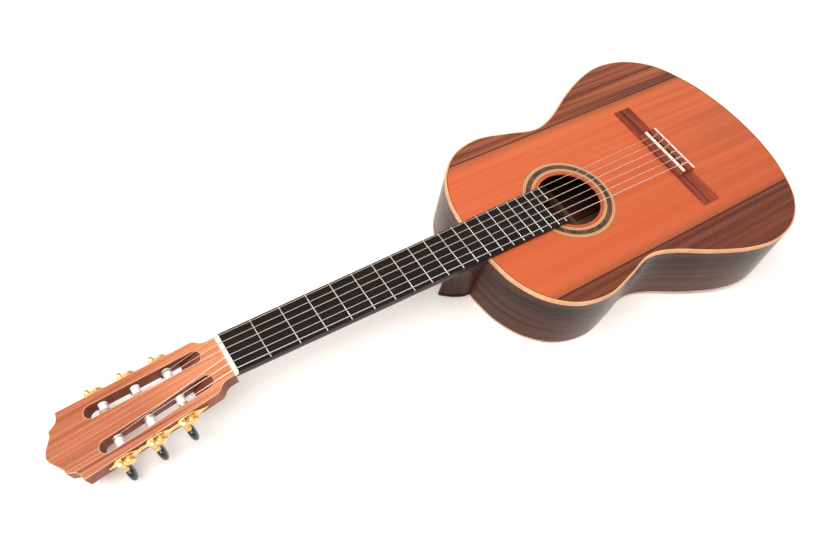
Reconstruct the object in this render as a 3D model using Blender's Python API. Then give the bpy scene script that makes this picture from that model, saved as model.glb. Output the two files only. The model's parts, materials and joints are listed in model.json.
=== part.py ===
# A classical guitar lying on its back. Metres, +Z up.
# The guitar is drawn in its own frame, then one empty sets it down on its back:
#   x runs from the string's break at the nut (0) to the tail, y points to the treble side,
#   z = 0 is the plane of the soundboard, which the fingerboard is glued on.

import math

import bmesh
import bpy
import numpy as np
from mathutils import Matrix, Vector

# Fits
GLUE_GAP = 0.0002           # between glued pieces
RUN_CLEARANCE = 0.0003      # between pieces that turn in each other

# Scale and neck
SCALE_LENGTH = 0.650
BODY_FRET = 12              # the fret at the edge of the body
BODY_FRET_X = SCALE_LENGTH * (1 - 2 ** (-BODY_FRET / 12))   # where the neck meets the body
FRET_COUNT = 20
NUT_WIDTH = 0.0500
BODY_FRET_WIDTH = 0.0584
BOARD_THICKNESS = 0.0065
BOARD_OVERHANG = 0.0035     # board past the last fret
FRET_HEIGHT = 0.0010
FRET_WIDTH = 0.0024
SCOOP_TREBLE_Y = 0.0076     # the board's end is scooped between these two
SCOOP_BASS_Y = -0.0230
NECK_THICKNESS_NUT = 0.0160
NECK_THICKNESS_BODY = 0.0185
NUT_THICKNESS = 0.0050
NUT_HEIGHT = 0.0088
NUT_ACTION = 0.0009         # under the string, over the fret tops

# Body
BODY_OUTLINE = (            # (from the neck end, half width)
    (0.000, 0.000),
    (0.001, 0.036),
    (0.008, 0.071),
    (0.027, 0.106),
    (0.060, 0.132),
    (0.103, 0.1405),
    (0.148, 0.1310),
    (0.188, 0.1205),
    (0.224, 0.1290),
    (0.275, 0.1560),
    (0.325, 0.1765),
    (0.370, 0.1835),
    (0.415, 0.1735),
    (0.453, 0.1440),
    (0.478, 0.0960),
    (0.490, 0.0480),
    (0.4935, 0.000),
)
OUTLINE_STEPS = 34          # along each half
BODY_DEPTH = 0.102          # at the crown of the back
BACK_TAPER = 0.008          # deeper towards the tail, per metre
BACK_ARCH_RADIUS = 5.5
BACK_CROWN_X = BODY_FRET_X + 0.235
REST_X = BODY_FRET_X + 0.078  # the guitar balances over this place
REST_LENGTH = 0.080         # flat stretch of the back strip under it
TOP_THICKNESS = 0.0025
BACK_THICKNESS = 0.0028
SIDE_THICKNESS = 0.0023
BINDING_HEIGHT = 0.0060
LINING_WIDTH = 0.0060
LINING_HEIGHT = 0.0140
WING_SEAM_Y = 0.1145        # where the soundboard's outer wings are joined on
BACK_STRIP_WIDTH = 0.012
TAIL_BLOCK_LENGTH = 0.015
TAIL_BLOCK_WIDTH = 0.060
HOLE_X = BODY_FRET_X + 0.1524
HOLE_RADIUS = 0.0428
ROSETTE_INNER = 0.0465
ROSETTE_OUTER = 0.0630
ROSETTE_DEPTH = 0.0012

# Heel and foot
HEEL_SECTIONS = (           # (depth, reach from the body, half width at the body)
    (0.0020, 0.094, 0.0282),
    (0.0120, 0.086, 0.0278),
    (0.0200, 0.066, 0.0250),
    (0.0320, 0.048, 0.0222),
    (0.0500, 0.0395, 0.0204),
    (0.0700, 0.0370, 0.0194),
)
HEEL_TIP_REACH = 0.0365
HEEL_TIP_HALF_WIDTH = 0.0185
HEEL_CAP_THICKNESS = 0.0025
HEEL_CAP_LIFT = 0.0022        # keeps the tilted cap off the table that the back rests on
FOOT_LENGTH = 0.034
FOOT_WIDTH = 0.064
CORE_WIDTH = 0.020          # of the neck, between the ends of the two sides

# Bracing
BAR_WIDTH = 0.006
BAR_HEIGHT = 0.015
STRUT_WIDTH = 0.005
STRUT_HEIGHT = 0.004
UPPER_BAR_X = BODY_FRET_X + 0.087
LOWER_BAR_X = BODY_FRET_X + 0.220
STRUT_END_X = BODY_FRET_X + 0.413
STRUT_COUNT = 7
STRUT_SPREAD_START = 0.105
STRUT_SPREAD_END = 0.215
BACK_BAR_PLACES = (0.070, 0.205, 0.365)     # from the neck end of the body
BACK_BAR_HEIGHT = 0.012
SEAM_STRIP_WIDTH = 0.020
SEAM_STRIP_THICKNESS = 0.002

# Bridge
BRIDGE_FRONT_X = SCALE_LENGTH - 0.0072
BRIDGE_LENGTH = 0.0287      # along the strings
BRIDGE_SPAN = 0.188
WING_THICKNESS = 0.0028
BLOCK_SPAN = 0.082
RIDGE_HEIGHT = 0.0082
TIE_HEIGHT = 0.0092
TIE_BLOCK_LENGTH = 0.0122
CHANNEL_FLOOR = 0.0036        # between the ridge and the tie block
RIDGE_FRONT = 0.0035          # from the saddle's middle
RIDGE_REAR = 0.0038
RIDGE_FOOT = 0.0008           # how far its rear face leans
BLOCK_FRONT_HEIGHT = 0.0040
WING_SLOPE = 0.0010
WING_SLOPE_LENGTH = 0.0050
SADDLE_X = SCALE_LENGTH + 0.0015
SADDLE_THICKNESS = 0.0028
SADDLE_SPAN = 0.0795
SADDLE_TOP = 0.0112
SADDLE_SLOT_FLOOR = 0.0045
TIE_HOLE_Z = 0.0052
TIE_HOLE_RADIUS = 0.0010
TRIM_WIDTH = 0.0028
TRIM_THICKNESS = 0.0014

# Head, in its own frame: u from the nut to the end, v to the bass side, w up from the face
HEAD_ANGLE = math.radians(12.5)
HEAD_FACE_Z = 0.0035        # the face at the nut
PLATE_VENEER = 0.0025
HEAD_THICKNESS = 0.0200
HEAD_HALF_OUTLINE = (       # (u, half width) from the nut to the middle of the crest
    (0.0000, 0.0252),
    (0.0100, 0.0256),
    (0.0155, 0.0280),
    (0.0195, 0.0318),
    (0.0230, 0.0334),
    (0.1705, 0.0400),
    (0.1715, 0.0340),
    (0.1750, 0.0288),
    (0.1830, 0.0250),
    (0.1840, 0.0190),
    (0.1893, 0.0115),
    (0.1930, 0.0055),
    (0.1945, 0.0000),
)
SIDE_START = 4              # the straight side runs from this point of the outline
SIDE_END = 5
SLOT_START = (0.0200, 0.0153)   # ends of the slot's centre line
SLOT_END = (0.1465, 0.0213)
SLOT_WIDTH = 0.0150

# Tuners, in a frame on the head's side: a along it, b out of it, c up
ROLLER_PLACES = (0.0575, 0.0925, 0.1275)
ROLLER_DEPTH = 0.0100       # of the axis, under the face
ROLLER_RADIUS = 0.0050
AXLE_RADIUS = 0.0020
GEAR_SPIGOT_RADIUS = 0.0014
ROLLER_PIN_LENGTH = 0.0040  # into the head's middle rib
TUNER_PLATE_THICKNESS = 0.0012
TUNER_PLATE_HALF_LENGTH = 0.0560
TUNER_PLATE_LOBE = 0.0080
TUNER_PLATE_WAIST = 0.0034
GEAR_TEETH = 14
THREAD_PITCH = 0.0025
GEAR_TIP_RADIUS = 0.00615
GEAR_ROOT_RADIUS = 0.00495
GEAR_THICKNESS = 0.0032
WORM_TIP_RADIUS = 0.0035
WORM_ROOT_RADIUS = 0.0025
WORM_DISTANCE = 0.00885     # between the two axes
WORM_AXIS_B = 0.0053
WORM_HALF_LENGTH = 0.0048
BEARING_INNER = 0.0060      # bearing blocks, from the roller's axis
BEARING_OUTER = 0.0078
BEARING_HALF_WIDTH = 0.0032
JOURNAL_RADIUS = 0.0020
COLLAR_RADIUS = 0.0032
BUTTON_TOP = 0.0150         # below the roller's axis
BUTTON_HEIGHT = 0.0205
BUTTON_WIDTH = 0.0195
BUTTON_THICKNESS = 0.0090
BUTTON_SOCKET_DEPTH = 0.0060

# Strings, treble to bass
STRING_DIAMETERS = (0.00071, 0.00082, 0.00102, 0.00074, 0.00089, 0.00109)
STRING_SPAN_NUT = 0.0430
STRING_SPAN_SADDLE = 0.0580
STRING_SIDES = 8
STRING_NAMES = ("e1", "b2", "g3", "d4", "a5", "e6")


def clear_scene():
    for found in list(bpy.data.objects):
        bpy.data.objects.remove(found, do_unlink=True)


def material(name, colour, roughness, metallic=0.0):
    made = bpy.data.materials.new(name)
    made.use_nodes = True
    shader = made.node_tree.nodes["Principled BSDF"]
    shader.inputs["Base Color"].default_value = (*colour, 1.0)
    shader.inputs["Roughness"].default_value = roughness
    shader.inputs["Metallic"].default_value = metallic
    made.diffuse_color = (*colour, 1.0)
    return made


def add_empty(name, parent=None, matrix=None):
    empty = bpy.data.objects.new(name, None)
    bpy.context.scene.collection.objects.link(empty)
    empty.parent = parent
    if matrix is not None:
        empty.matrix_local = matrix
    return empty


def add_mesh(name, verts, faces, parent, finish=None, place=(0.0, 0.0, 0.0)):
    mesh = bpy.data.meshes.new(name)
    mesh.from_pydata([tuple(v) for v in verts], [], faces)
    work = bmesh.new()
    work.from_mesh(mesh)
    bmesh.ops.recalc_face_normals(work, faces=work.faces)
    work.to_mesh(mesh)
    work.free()
    made = bpy.data.objects.new(name, mesh)
    bpy.context.scene.collection.objects.link(made)
    made.parent = parent
    made.location = place
    if finish is not None:
        mesh.materials.append(finish)
    return made


def combine(target, helpers, operation):
    """Adds or cuts the helpers, which stay in the file as hidden wireframes."""
    for helper in helpers:
        helper.hide_render = True
        helper.display_type = "WIRE"
        step = target.modifiers.new(helper.name, "BOOLEAN")
        step.operation = operation
        step.solver = "EXACT"
        step.object = helper
    return target


def loft(rings, closed=False):
    """Vertices and faces of a skin through rings of equal length, capped unless it closes on itself."""
    size = len(rings[0])
    verts = [point for ring in rings for point in ring]
    faces = []
    for i in range(len(rings) - (0 if closed else 1)):
        here = i * size
        there = ((i + 1) % len(rings)) * size
        for k in range(size):
            nxt = (k + 1) % size
            faces.append((here + k, here + nxt, there + nxt, there + k))
    if not closed:
        faces.append(tuple(range(size))[::-1])
        faces.append(tuple(range(len(verts) - size, len(verts))))
    return verts, faces


def prism(outline, low, high):
    """Skin between two heights, each a number or a function of x and y."""
    def level(height, x, y):
        return height(x, y) if callable(height) else height
    bottom = [(x, y, level(low, x, y)) for x, y in outline]
    top = [(x, y, level(high, x, y)) for x, y in outline]
    return loft([bottom, top])


def circle(radius, sides, centre=(0.0, 0.0), phase=0.0):
    return [
        (centre[0] + radius * math.cos(phase + 2 * math.pi * k / sides),
         centre[1] + radius * math.sin(phase + 2 * math.pi * k / sides))
        for k in range(sides)
    ]


def lathe(profile, sides, axis="Z"):
    """Turns (along the axis, radius) pairs; the ends are flat caps."""
    rings = []
    for along, radius in profile:
        ring = circle(radius, sides, phase=math.pi / sides)
        if axis == "Y":
            rings.append([(x, along, y) for x, y in ring])
        elif axis == "X":
            rings.append([(along, x, y) for x, y in ring])
        else:
            rings.append([(x, y, along) for x, y in ring])
    return loft(rings)


def box(low, high):
    outline = [(low[0], low[1]), (high[0], low[1]), (high[0], high[1]), (low[0], high[1])]
    return prism(outline, low[2], high[2])


def add_box(name, low, high, parent, finish=None):
    return add_mesh(name, *box(low, high), parent, finish)


def smooth_path(points, steps):
    """Catmull-Rom curve through the points, resampled evenly by length."""
    pts = [Vector(p) for p in points]
    mirrored = [Vector((pts[1].x, -pts[1].y))] + pts + [Vector((pts[-2].x, -pts[-2].y))]
    dense = []
    for i in range(1, len(mirrored) - 2):
        p0, p1, p2, p3 = mirrored[i - 1:i + 3]
        for k in range(24):
            t = k / 24
            dense.append(0.5 * (2 * p1 + (p2 - p0) * t + (2 * p0 - 5 * p1 + 4 * p2 - p3) * t**2
                                + (3 * p1 - p0 - 3 * p2 + p3) * t**3))
    dense.append(pts[-1])
    runs = np.array([(b - a).length for a, b in zip(dense, dense[1:])])
    reach = np.concatenate([[0.0], np.cumsum(runs)])
    marks = np.linspace(0.0, reach[-1], steps + 1)
    return [
        (float(np.interp(mark, reach, [p.x for p in dense])),
         float(np.interp(mark, reach, [p.y for p in dense])))
        for mark in marks
    ]


def inset_half(half, distance):
    """Moves the half outline inwards; its ends stay on the centre line."""
    moved = []
    for i, (x, y) in enumerate(half):
        before = half[i - 1] if i > 0 else (half[1][0], -half[1][1])
        after = half[i + 1] if i < len(half) - 1 else (half[-2][0], -half[-2][1])
        along = Vector((after[0] - before[0], after[1] - before[1])).normalized()
        moved.append((x + along.y * distance, max(0.0, y - along.x * distance)))
    return moved


def cut_ends(outer, inner, neck_y, tail_y):
    """Pairs of outer and inner points between two planes of constant y, at the neck and at the tail."""
    def crossing(path, index, step, y):
        (x0, y0), (x1, y1) = path[index - step], path[index]
        return (x0 + (x1 - x0) * (y - y0) / (y1 - y0), y)
    margin = 0.0004
    first = next(i for i in range(len(outer)) if inner[i][1] > neck_y + margin)
    last = next(i for i in reversed(range(len(outer))) if inner[i][1] > tail_y + margin)
    pairs = [(crossing(outer, first, 1, neck_y), crossing(inner, first, 1, neck_y))]
    pairs += [(outer[i], inner[i]) for i in range(first, last + 1)]
    pairs.append((crossing(outer, last, -1, tail_y), crossing(inner, last, -1, tail_y)))
    return pairs


def mirrored(points):
    return [(x, -y) for x, y in points]


def fret_x(number):
    return SCALE_LENGTH * (1 - 2 ** (-number / 12))


body_x = fret_x(BODY_FRET)
half_outline = [(body_x + x, y) for x, y in smooth_path(BODY_OUTLINE, OUTLINE_STEPS)]
tail_x = half_outline[-1][0]
rim = SIDE_THICKNESS                       # the binding is as thick as the sides
inner_rim = rim + GLUE_GAP


def half_width(x):
    return float(np.interp(x, [p[0] for p in half_outline], [p[1] for p in half_outline]))


def back_z(x, y):
    """Outer face of the back: a shallow arch, flat along the rest's short stretch."""
    def lengthways(place):
        offset = place - BACK_CROWN_X
        return offset**2 / (2 * BACK_ARCH_RADIUS) - BACK_TAPER * offset
    start = REST_X - REST_LENGTH / 2
    end = REST_X + REST_LENGTH / 2
    if start < x < end:
        share = (x - start) / REST_LENGTH
        along = lengthways(start) * (1 - share) + lengthways(end) * share
    else:
        along = lengthways(x)
    return -BODY_DEPTH + along + y**2 / (2 * BACK_ARCH_RADIUS)


def rest_slope():
    start = REST_X - REST_LENGTH / 2
    return (back_z(REST_X + REST_LENGTH / 2, 0.0) - back_z(start, 0.0)) / REST_LENGTH


def back_inside_z(x, y):
    return back_z(x, y) + BACK_THICKNESS + GLUE_GAP


def board_half_width(x):
    return (NUT_WIDTH + (BODY_FRET_WIDTH - NUT_WIDTH) * x / body_x) / 2


def strip(pairs, low, high):
    """A wall that follows pairs of outer and inner points, from one height to the other."""
    rings = []
    for (xo, yo), (xi, yi) in pairs:
        rings.append([
            (xo, yo, low(xo, yo)), (xo, yo, high(xo, yo)),
            (xi, yi, high(xo, yo)), (xi, yi, low(xo, yo)),
        ])
    return rings


def make_soundboard(parent, cedar, wing_wood, rosette_wood):
    edge = inset_half(half_outline, inner_rim)
    inner_seam = WING_SEAM_Y - GLUE_GAP / 2
    inside = [(x, min(y, inner_seam)) for x, y in edge]
    centre_half = [
        point for before, point, after in zip(inside[:1] + inside, inside, inside[1:] + inside[-1:])
        if min(before[1], point[1], after[1]) < inner_seam
    ]
    centre_outline = centre_half + mirrored(centre_half[1:-1])[::-1]
    top = add_mesh("top_centre", *prism(centre_outline, -TOP_THICKNESS, 0.0), parent, cedar)
    hole = add_mesh("soundhole_cut", *prism(circle(HOLE_RADIUS, 64, (HOLE_X, 0.0)), -0.01, 0.01), parent)
    rings = []
    inner = ROSETTE_INNER - GLUE_GAP
    outer = ROSETTE_OUTER + GLUE_GAP
    floor = -ROSETTE_DEPTH - GLUE_GAP
    for radius, z in ((inner, floor), (inner, 0.01), (outer, 0.01), (outer, floor)):
        rings.append([(x, y, z) for x, y in circle(radius, 64, (HOLE_X, 0.0))])
    groove = add_mesh("rosette_groove", *loft(rings, closed=True), parent)
    combine(top, [hole, groove], "DIFFERENCE")
    rings = []
    for radius, z in ((ROSETTE_INNER, -ROSETTE_DEPTH), (ROSETTE_INNER, 0.0),
                      (ROSETTE_OUTER, 0.0), (ROSETTE_OUTER, -ROSETTE_DEPTH)):
        rings.append([(x, y, z) for x, y in circle(radius, 64, (HOLE_X, 0.0))])
    add_mesh("rosette", *loft(rings, closed=True), parent, rosette_wood)
    outer_seam = WING_SEAM_Y + GLUE_GAP / 2
    wing = []
    for (x0, y0), (x1, y1) in zip(edge, edge[1:]):
        if y0 > outer_seam:
            wing.append((x0, y0))
        if (y0 > outer_seam) != (y1 > outer_seam):
            wing.append((x0 + (x1 - x0) * (outer_seam - y0) / (y1 - y0), outer_seam))
    for name, outline in (("top_wing_treble", wing), ("top_wing_bass", mirrored(wing))):
        add_mesh(name, *prism(outline, -TOP_THICKNESS, 0.0), parent, wing_wood)


def make_back(parent, rosewood, strip_wood):
    edge = inset_half(half_outline, inner_rim)
    strip_half = BACK_STRIP_WIDTH / 2
    inner_y = strip_half + GLUE_GAP
    columns = 5
    flats = (REST_X - REST_LENGTH / 2, REST_X + REST_LENGTH / 2)
    end_y = inner_y + 0.011
    inside = [i for i, p in enumerate(edge) if p[1] > end_y + 0.001]
    rows = [edge[i] for i in inside]
    rows += [(x, float(np.interp(x, [p[0] for p in edge], [p[1] for p in edge]))) for x in flats]
    for index, step in ((inside[0], -1), (inside[-1], 1)):
        (x0, y0), (x1, y1) = edge[index + step], edge[index]
        rows.append((x0 + (x1 - x0) * (end_y - y0) / (y1 - y0), end_y))
    rows.sort()
    for side, sign in (("treble", 1), ("bass", -1)):
        rings = []
        for x, y_out in rows:
            across = [inner_y + (y_out - inner_y) * k / columns for k in range(columns + 1)]
            outer = [(x, sign * y, back_z(x, y)) for y in across]
            inner = [(x, sign * y, back_z(x, y) + BACK_THICKNESS) for y in reversed(across)]
            rings.append(outer + inner)
        add_mesh(f"back_{side}", *loft(rings), parent, rosewood)
    spots = [x for x, _ in rows if not flats[0] < x < flats[1]]
    rings = [
        [(x, -strip_half, back_z(x, 0.0)), (x, strip_half, back_z(x, 0.0)),
         (x, strip_half, back_z(x, 0.0) + BACK_THICKNESS), (x, -strip_half, back_z(x, 0.0) + BACK_THICKNESS)]
        for x in spots
    ]
    add_mesh("back_strip", *loft(rings), parent, strip_wood)


def make_rims(parent, rosewood, maple, lining_wood):
    outer = half_outline
    inner = inset_half(half_outline, rim)
    def above_back(x, y):
        return back_z(x, y) + BINDING_HEIGHT
    both = [(p, q) for p, q in zip(outer, inner)]
    turned = [((p[0], -p[1]), (q[0], -q[1])) for p, q in reversed(both[1:-1])]
    around = both + turned
    bands = (
        ("binding_top", lambda x, y: -BINDING_HEIGHT, lambda x, y: 0.0),
        ("binding_back", back_z, above_back),
    )
    for name, low, high in bands:
        add_mesh(name, *loft(strip(around, low, high), closed=True), parent, maple)
    walls = cut_ends(outer, inner, CORE_WIDTH / 2 + GLUE_GAP, GLUE_GAP / 2)
    lining_outer = inset_half(half_outline, rim + GLUE_GAP)
    lining_inner = inset_half(half_outline, rim + GLUE_GAP + LINING_WIDTH)
    ledges = cut_ends(lining_outer, lining_inner, FOOT_WIDTH / 2 + GLUE_GAP, TAIL_BLOCK_WIDTH / 2 + GLUE_GAP)
    top_low = -TOP_THICKNESS - GLUE_GAP - LINING_HEIGHT
    pieces = (
        ("side", walls, lambda x, y: above_back(x, y) + GLUE_GAP,
         lambda x, y: -BINDING_HEIGHT - GLUE_GAP, rosewood),
        ("lining_top", ledges, lambda x, y: top_low, lambda x, y: -TOP_THICKNESS - GLUE_GAP, lining_wood),
        ("lining_back", ledges, back_inside_z,
         lambda x, y: back_inside_z(x, y) + LINING_HEIGHT, lining_wood),
    )
    for name, pairs, low, high, wood in pieces:
        for side, sign in (("treble", 1), ("bass", -1)):
            placed = [((p[0], sign * p[1]), (q[0], sign * q[1])) for p, q in pairs]
            add_mesh(f"{name}_{side}", *loft(strip(placed, low, high)), parent, wood)


def make_tail_block(parent, wood):
    wall = inset_half(half_outline, inner_rim)
    block_half = TAIL_BLOCK_WIDTH / 2
    near = [p for p in wall if p[0] > HOLE_X and p[1] < block_half]
    edge_x = float(np.interp(block_half, [p[1] for p in wall[::-1][:6]], [p[0] for p in wall[::-1][:6]]))
    front = tail_x - rim - TAIL_BLOCK_LENGTH
    half = [(front, block_half), (edge_x, block_half)] + near
    outline = half + mirrored(half[:-1])[::-1]
    add_mesh("tail_block", *prism(outline, back_inside_z, -TOP_THICKNESS - GLUE_GAP), parent, wood)


def heel_section(depth, reach, half, end_x):
    """A pointed arch at one depth, from the body to the heel's tip and back."""
    steps = 7
    shares = [k / steps for k in range(steps + 1)]
    bass = [(end_x - reach * s, -half * (1 - s**1.8)) for s in shares]
    treble = [(x, -y) for x, y in bass[:-1]][::-1]
    return [(x, y, -depth) for x, y in bass + treble]


def make_neck(parent, mahogany, rosewood):
    end_x = body_x - GLUE_GAP
    slant = math.tan(HEAD_ANGLE)
    arc = [math.pi * k / 12 for k in range(13)]
    rings = []
    stations = (None, 0.02, 0.09, 0.17, 0.25, end_x)
    for place in stations:
        x = 0.0 if place is None else place
        half = board_half_width(x)
        deep = NECK_THICKNESS_NUT + (NECK_THICKNESS_BODY - NECK_THICKNESS_NUT) * x / body_x
        ring = []
        for angle in arc:
            y = half * math.copysign(abs(math.cos(angle)) ** 0.8, math.cos(angle))
            z = -deep * math.sin(angle) ** 0.9
            joint_x = -NUT_THICKNESS + slant * (HEAD_FACE_Z - z) + GLUE_GAP
            ring.append((joint_x if place is None else x, y, z))
        rings.append(ring)
    neck = add_mesh("neck", *loft(rings), parent, mahogany)
    cap_low = back_z(body_x, 0.0) + HEEL_CAP_LIFT
    heel_bottom = -cap_low - HEEL_CAP_THICKNESS - GLUE_GAP
    sections = [heel_section(depth, reach, half, end_x) for depth, reach, half in HEEL_SECTIONS]
    sections.append(heel_section(heel_bottom, HEEL_TIP_REACH, HEEL_TIP_HALF_WIDTH, end_x))
    heel = add_mesh("heel_shape", *loft(sections), parent)
    core_top = -BINDING_HEIGHT - GLUE_GAP
    core_bottom = back_z(body_x, 0.0) + BINDING_HEIGHT + GLUE_GAP
    foot_half = FOOT_WIDTH / 2
    wall = inset_half(half_outline, inner_rim)[:OUTLINE_STEPS // 4]
    foot_front = float(np.interp(foot_half, [y for _, y in wall], [x for x, _ in wall]))
    half_core = CORE_WIDTH / 2
    core = add_box("core_shape", (end_x - 0.012, -half_core, core_bottom),
                   (foot_front + 0.006, half_core, core_top), parent)
    outline = [(foot_front, -foot_half), (foot_front + FOOT_LENGTH * 0.75, -foot_half),
               (foot_front + FOOT_LENGTH, -foot_half * 0.6), (foot_front + FOOT_LENGTH, foot_half * 0.6),
               (foot_front + FOOT_LENGTH * 0.75, foot_half), (foot_front, foot_half)]
    foot = add_mesh("foot_shape", *prism(outline, back_inside_z, -TOP_THICKNESS - GLUE_GAP), parent)
    combine(neck, [heel, core, foot], "UNION")
    cap = [(x, y) for x, y, _ in heel_section(0.0, HEEL_TIP_REACH, HEEL_TIP_HALF_WIDTH, end_x)]
    add_mesh("heel_cap", *prism(cap, cap_low, cap_low + HEEL_CAP_THICKNESS), parent, rosewood)


def make_fingerboard(parent, ebony):
    low = GLUE_GAP
    board_top = BOARD_THICKNESS
    end_x = fret_x(FRET_COUNT) + BOARD_OVERHANG
    crown = ((-0.50, 0.0), (-0.34, 0.68), (-0.12, 1.0), (0.12, 1.0), (0.34, 0.68), (0.50, 0.0))
    profile = [(GLUE_GAP, low), (GLUE_GAP, board_top)]
    for number in range(1, FRET_COUNT + 1):
        for share, rise in crown:
            profile.append((fret_x(number) + share * FRET_WIDTH, board_top + rise * FRET_HEIGHT))
    profile += [(end_x, board_top), (end_x, low)]
    rings = [[(x, side * board_half_width(x), z) for x, z in profile] for side in (-1, 1)]
    board = add_mesh("fingerboard", *loft(rings), parent, ebony)
    radius = HOLE_RADIUS - 0.0004
    arc = [(HOLE_X - math.sqrt(radius**2 - y**2), y) for y in np.linspace(SCOOP_BASS_Y, SCOOP_TREBLE_Y, 9)]
    scoop = arc + [(end_x + 0.01, SCOOP_TREBLE_Y), (end_x + 0.01, SCOOP_BASS_Y)]
    cut = add_mesh("scoop_cut", *prism(scoop, -0.001, 0.02), parent)
    combine(board, [cut], "DIFFERENCE")


def string_y(index, span):
    """Treble string first."""
    return span / 2 - span * index / (len(STRING_DIAMETERS) - 1)


def nut_string_z(radius):
    return BOARD_THICKNESS + FRET_HEIGHT + NUT_ACTION + radius


def make_nut(parent, bone):
    half = NUT_WIDTH / 2
    back = -NUT_THICKNESS + 2 * GLUE_GAP
    foot_back = back + math.tan(HEAD_ANGLE) * HEAD_FACE_Z
    profile = [(foot_back, GLUE_GAP), (-GLUE_GAP, GLUE_GAP), (-GLUE_GAP, NUT_HEIGHT),
               (-0.0035, NUT_HEIGHT), (back, NUT_HEIGHT - 0.0007), (back, HEAD_FACE_Z)]
    rings = [[(x, side * half, z) for x, z in profile] for side in (-1, 1)]
    nut = add_mesh("nut", *loft(rings), parent, bone)
    notches = []
    for index, diameter in enumerate(STRING_DIAMETERS):
        y = string_y(index, STRING_SPAN_NUT)
        reach = diameter / 2 + GLUE_GAP
        floor = nut_string_z(diameter / 2) - diameter / 2 - GLUE_GAP
        low, high = (-0.01, y - reach, floor), (0.01, y + reach, 0.02)
        notches.append(add_box(f"notch_{index + 1}", low, high, parent))
    combine(nut, notches, "DIFFERENCE")


def make_bridge(parent, rosewood, bone, trim_white):
    front = BRIDGE_FRONT_X
    rear = front + BRIDGE_LENGTH
    base = GLUE_GAP
    block_half = BLOCK_SPAN / 2
    tie_front = rear - TIE_BLOCK_LENGTH
    ridge_rear = SADDLE_X + RIDGE_REAR
    ledge = rear - TRIM_WIDTH - GLUE_GAP
    ledge_z = TIE_HEIGHT - TRIM_THICKNESS - GLUE_GAP
    profile = [(front, base), (rear, base), (rear, ledge_z), (ledge, ledge_z), (ledge, TIE_HEIGHT),
               (tie_front, TIE_HEIGHT), (tie_front, CHANNEL_FLOOR), (ridge_rear + RIDGE_FOOT, CHANNEL_FLOOR),
               (ridge_rear, RIDGE_HEIGHT), (SADDLE_X - RIDGE_FRONT, RIDGE_HEIGHT),
               (front, BLOCK_FRONT_HEIGHT)]
    rings = [[(x, side * block_half, z) for x, z in profile] for side in (-1, 1)]
    bridge = add_mesh("bridge", *loft(rings), parent, rosewood)
    half = BRIDGE_SPAN / 2
    wing_edge = WING_THICKNESS - WING_SLOPE
    wing_profile = [(front, base), (rear, base), (rear, wing_edge),
                    (rear - WING_SLOPE_LENGTH, WING_THICKNESS),
                    (front + WING_SLOPE_LENGTH, WING_THICKNESS), (front, wing_edge)]
    rings = [[(x, side * half, z) for x, z in wing_profile] for side in (-1, 1)]
    wings = add_mesh("wings_shape", *loft(rings), parent)
    combine(bridge, [wings], "UNION")
    slot_half = SADDLE_SPAN / 2 + GLUE_GAP
    saddle_half = SADDLE_THICKNESS / 2
    slot_reach_x = saddle_half + GLUE_GAP
    slot = add_box("saddle_slot", (SADDLE_X - slot_reach_x, -slot_half, SADDLE_SLOT_FLOOR - GLUE_GAP),
                   (SADDLE_X + slot_reach_x, slot_half, 0.02), parent)
    cuts = [slot]
    for index in range(len(STRING_DIAMETERS)):
        y = string_y(index, STRING_SPAN_SADDLE)
        shape = lathe([(tie_front - 0.002, TIE_HOLE_RADIUS), (rear + 0.002, TIE_HOLE_RADIUS)], 10, "X")
        cuts.append(add_mesh(f"tie_hole_{index + 1}", *shape, parent, place=(0.0, y, TIE_HOLE_Z)))
    combine(bridge, cuts, "DIFFERENCE")
    shoulder = SADDLE_TOP - 0.0004
    crown = [(-saddle_half, SADDLE_SLOT_FLOOR), (saddle_half, SADDLE_SLOT_FLOOR), (saddle_half, shoulder),
             (saddle_half * 0.5, SADDLE_TOP), (-saddle_half * 0.5, SADDLE_TOP), (-saddle_half, shoulder)]
    rings = [[(SADDLE_X + x, side * SADDLE_SPAN / 2, z) for x, z in crown] for side in (-1, 1)]
    add_mesh("saddle", *loft(rings), parent, bone)
    add_box("tie_block_trim", (rear - TRIM_WIDTH, -block_half, TIE_HEIGHT - TRIM_THICKNESS),
            (rear, block_half, TIE_HEIGHT), parent, trim_white)


def bar(name, start, end, width, low, high, parent, finish=None):
    """A straight bar between two (x, y) ends."""
    way = (Vector(end) - Vector(start)).normalized()
    side = Vector((-way.y, way.x)) * width / 2
    corners = [Vector(start) - side, Vector(end) - side, Vector(end) + side, Vector(start) + side]
    return add_mesh(name, *prism([tuple(c) for c in corners], low, high), parent, finish)


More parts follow.
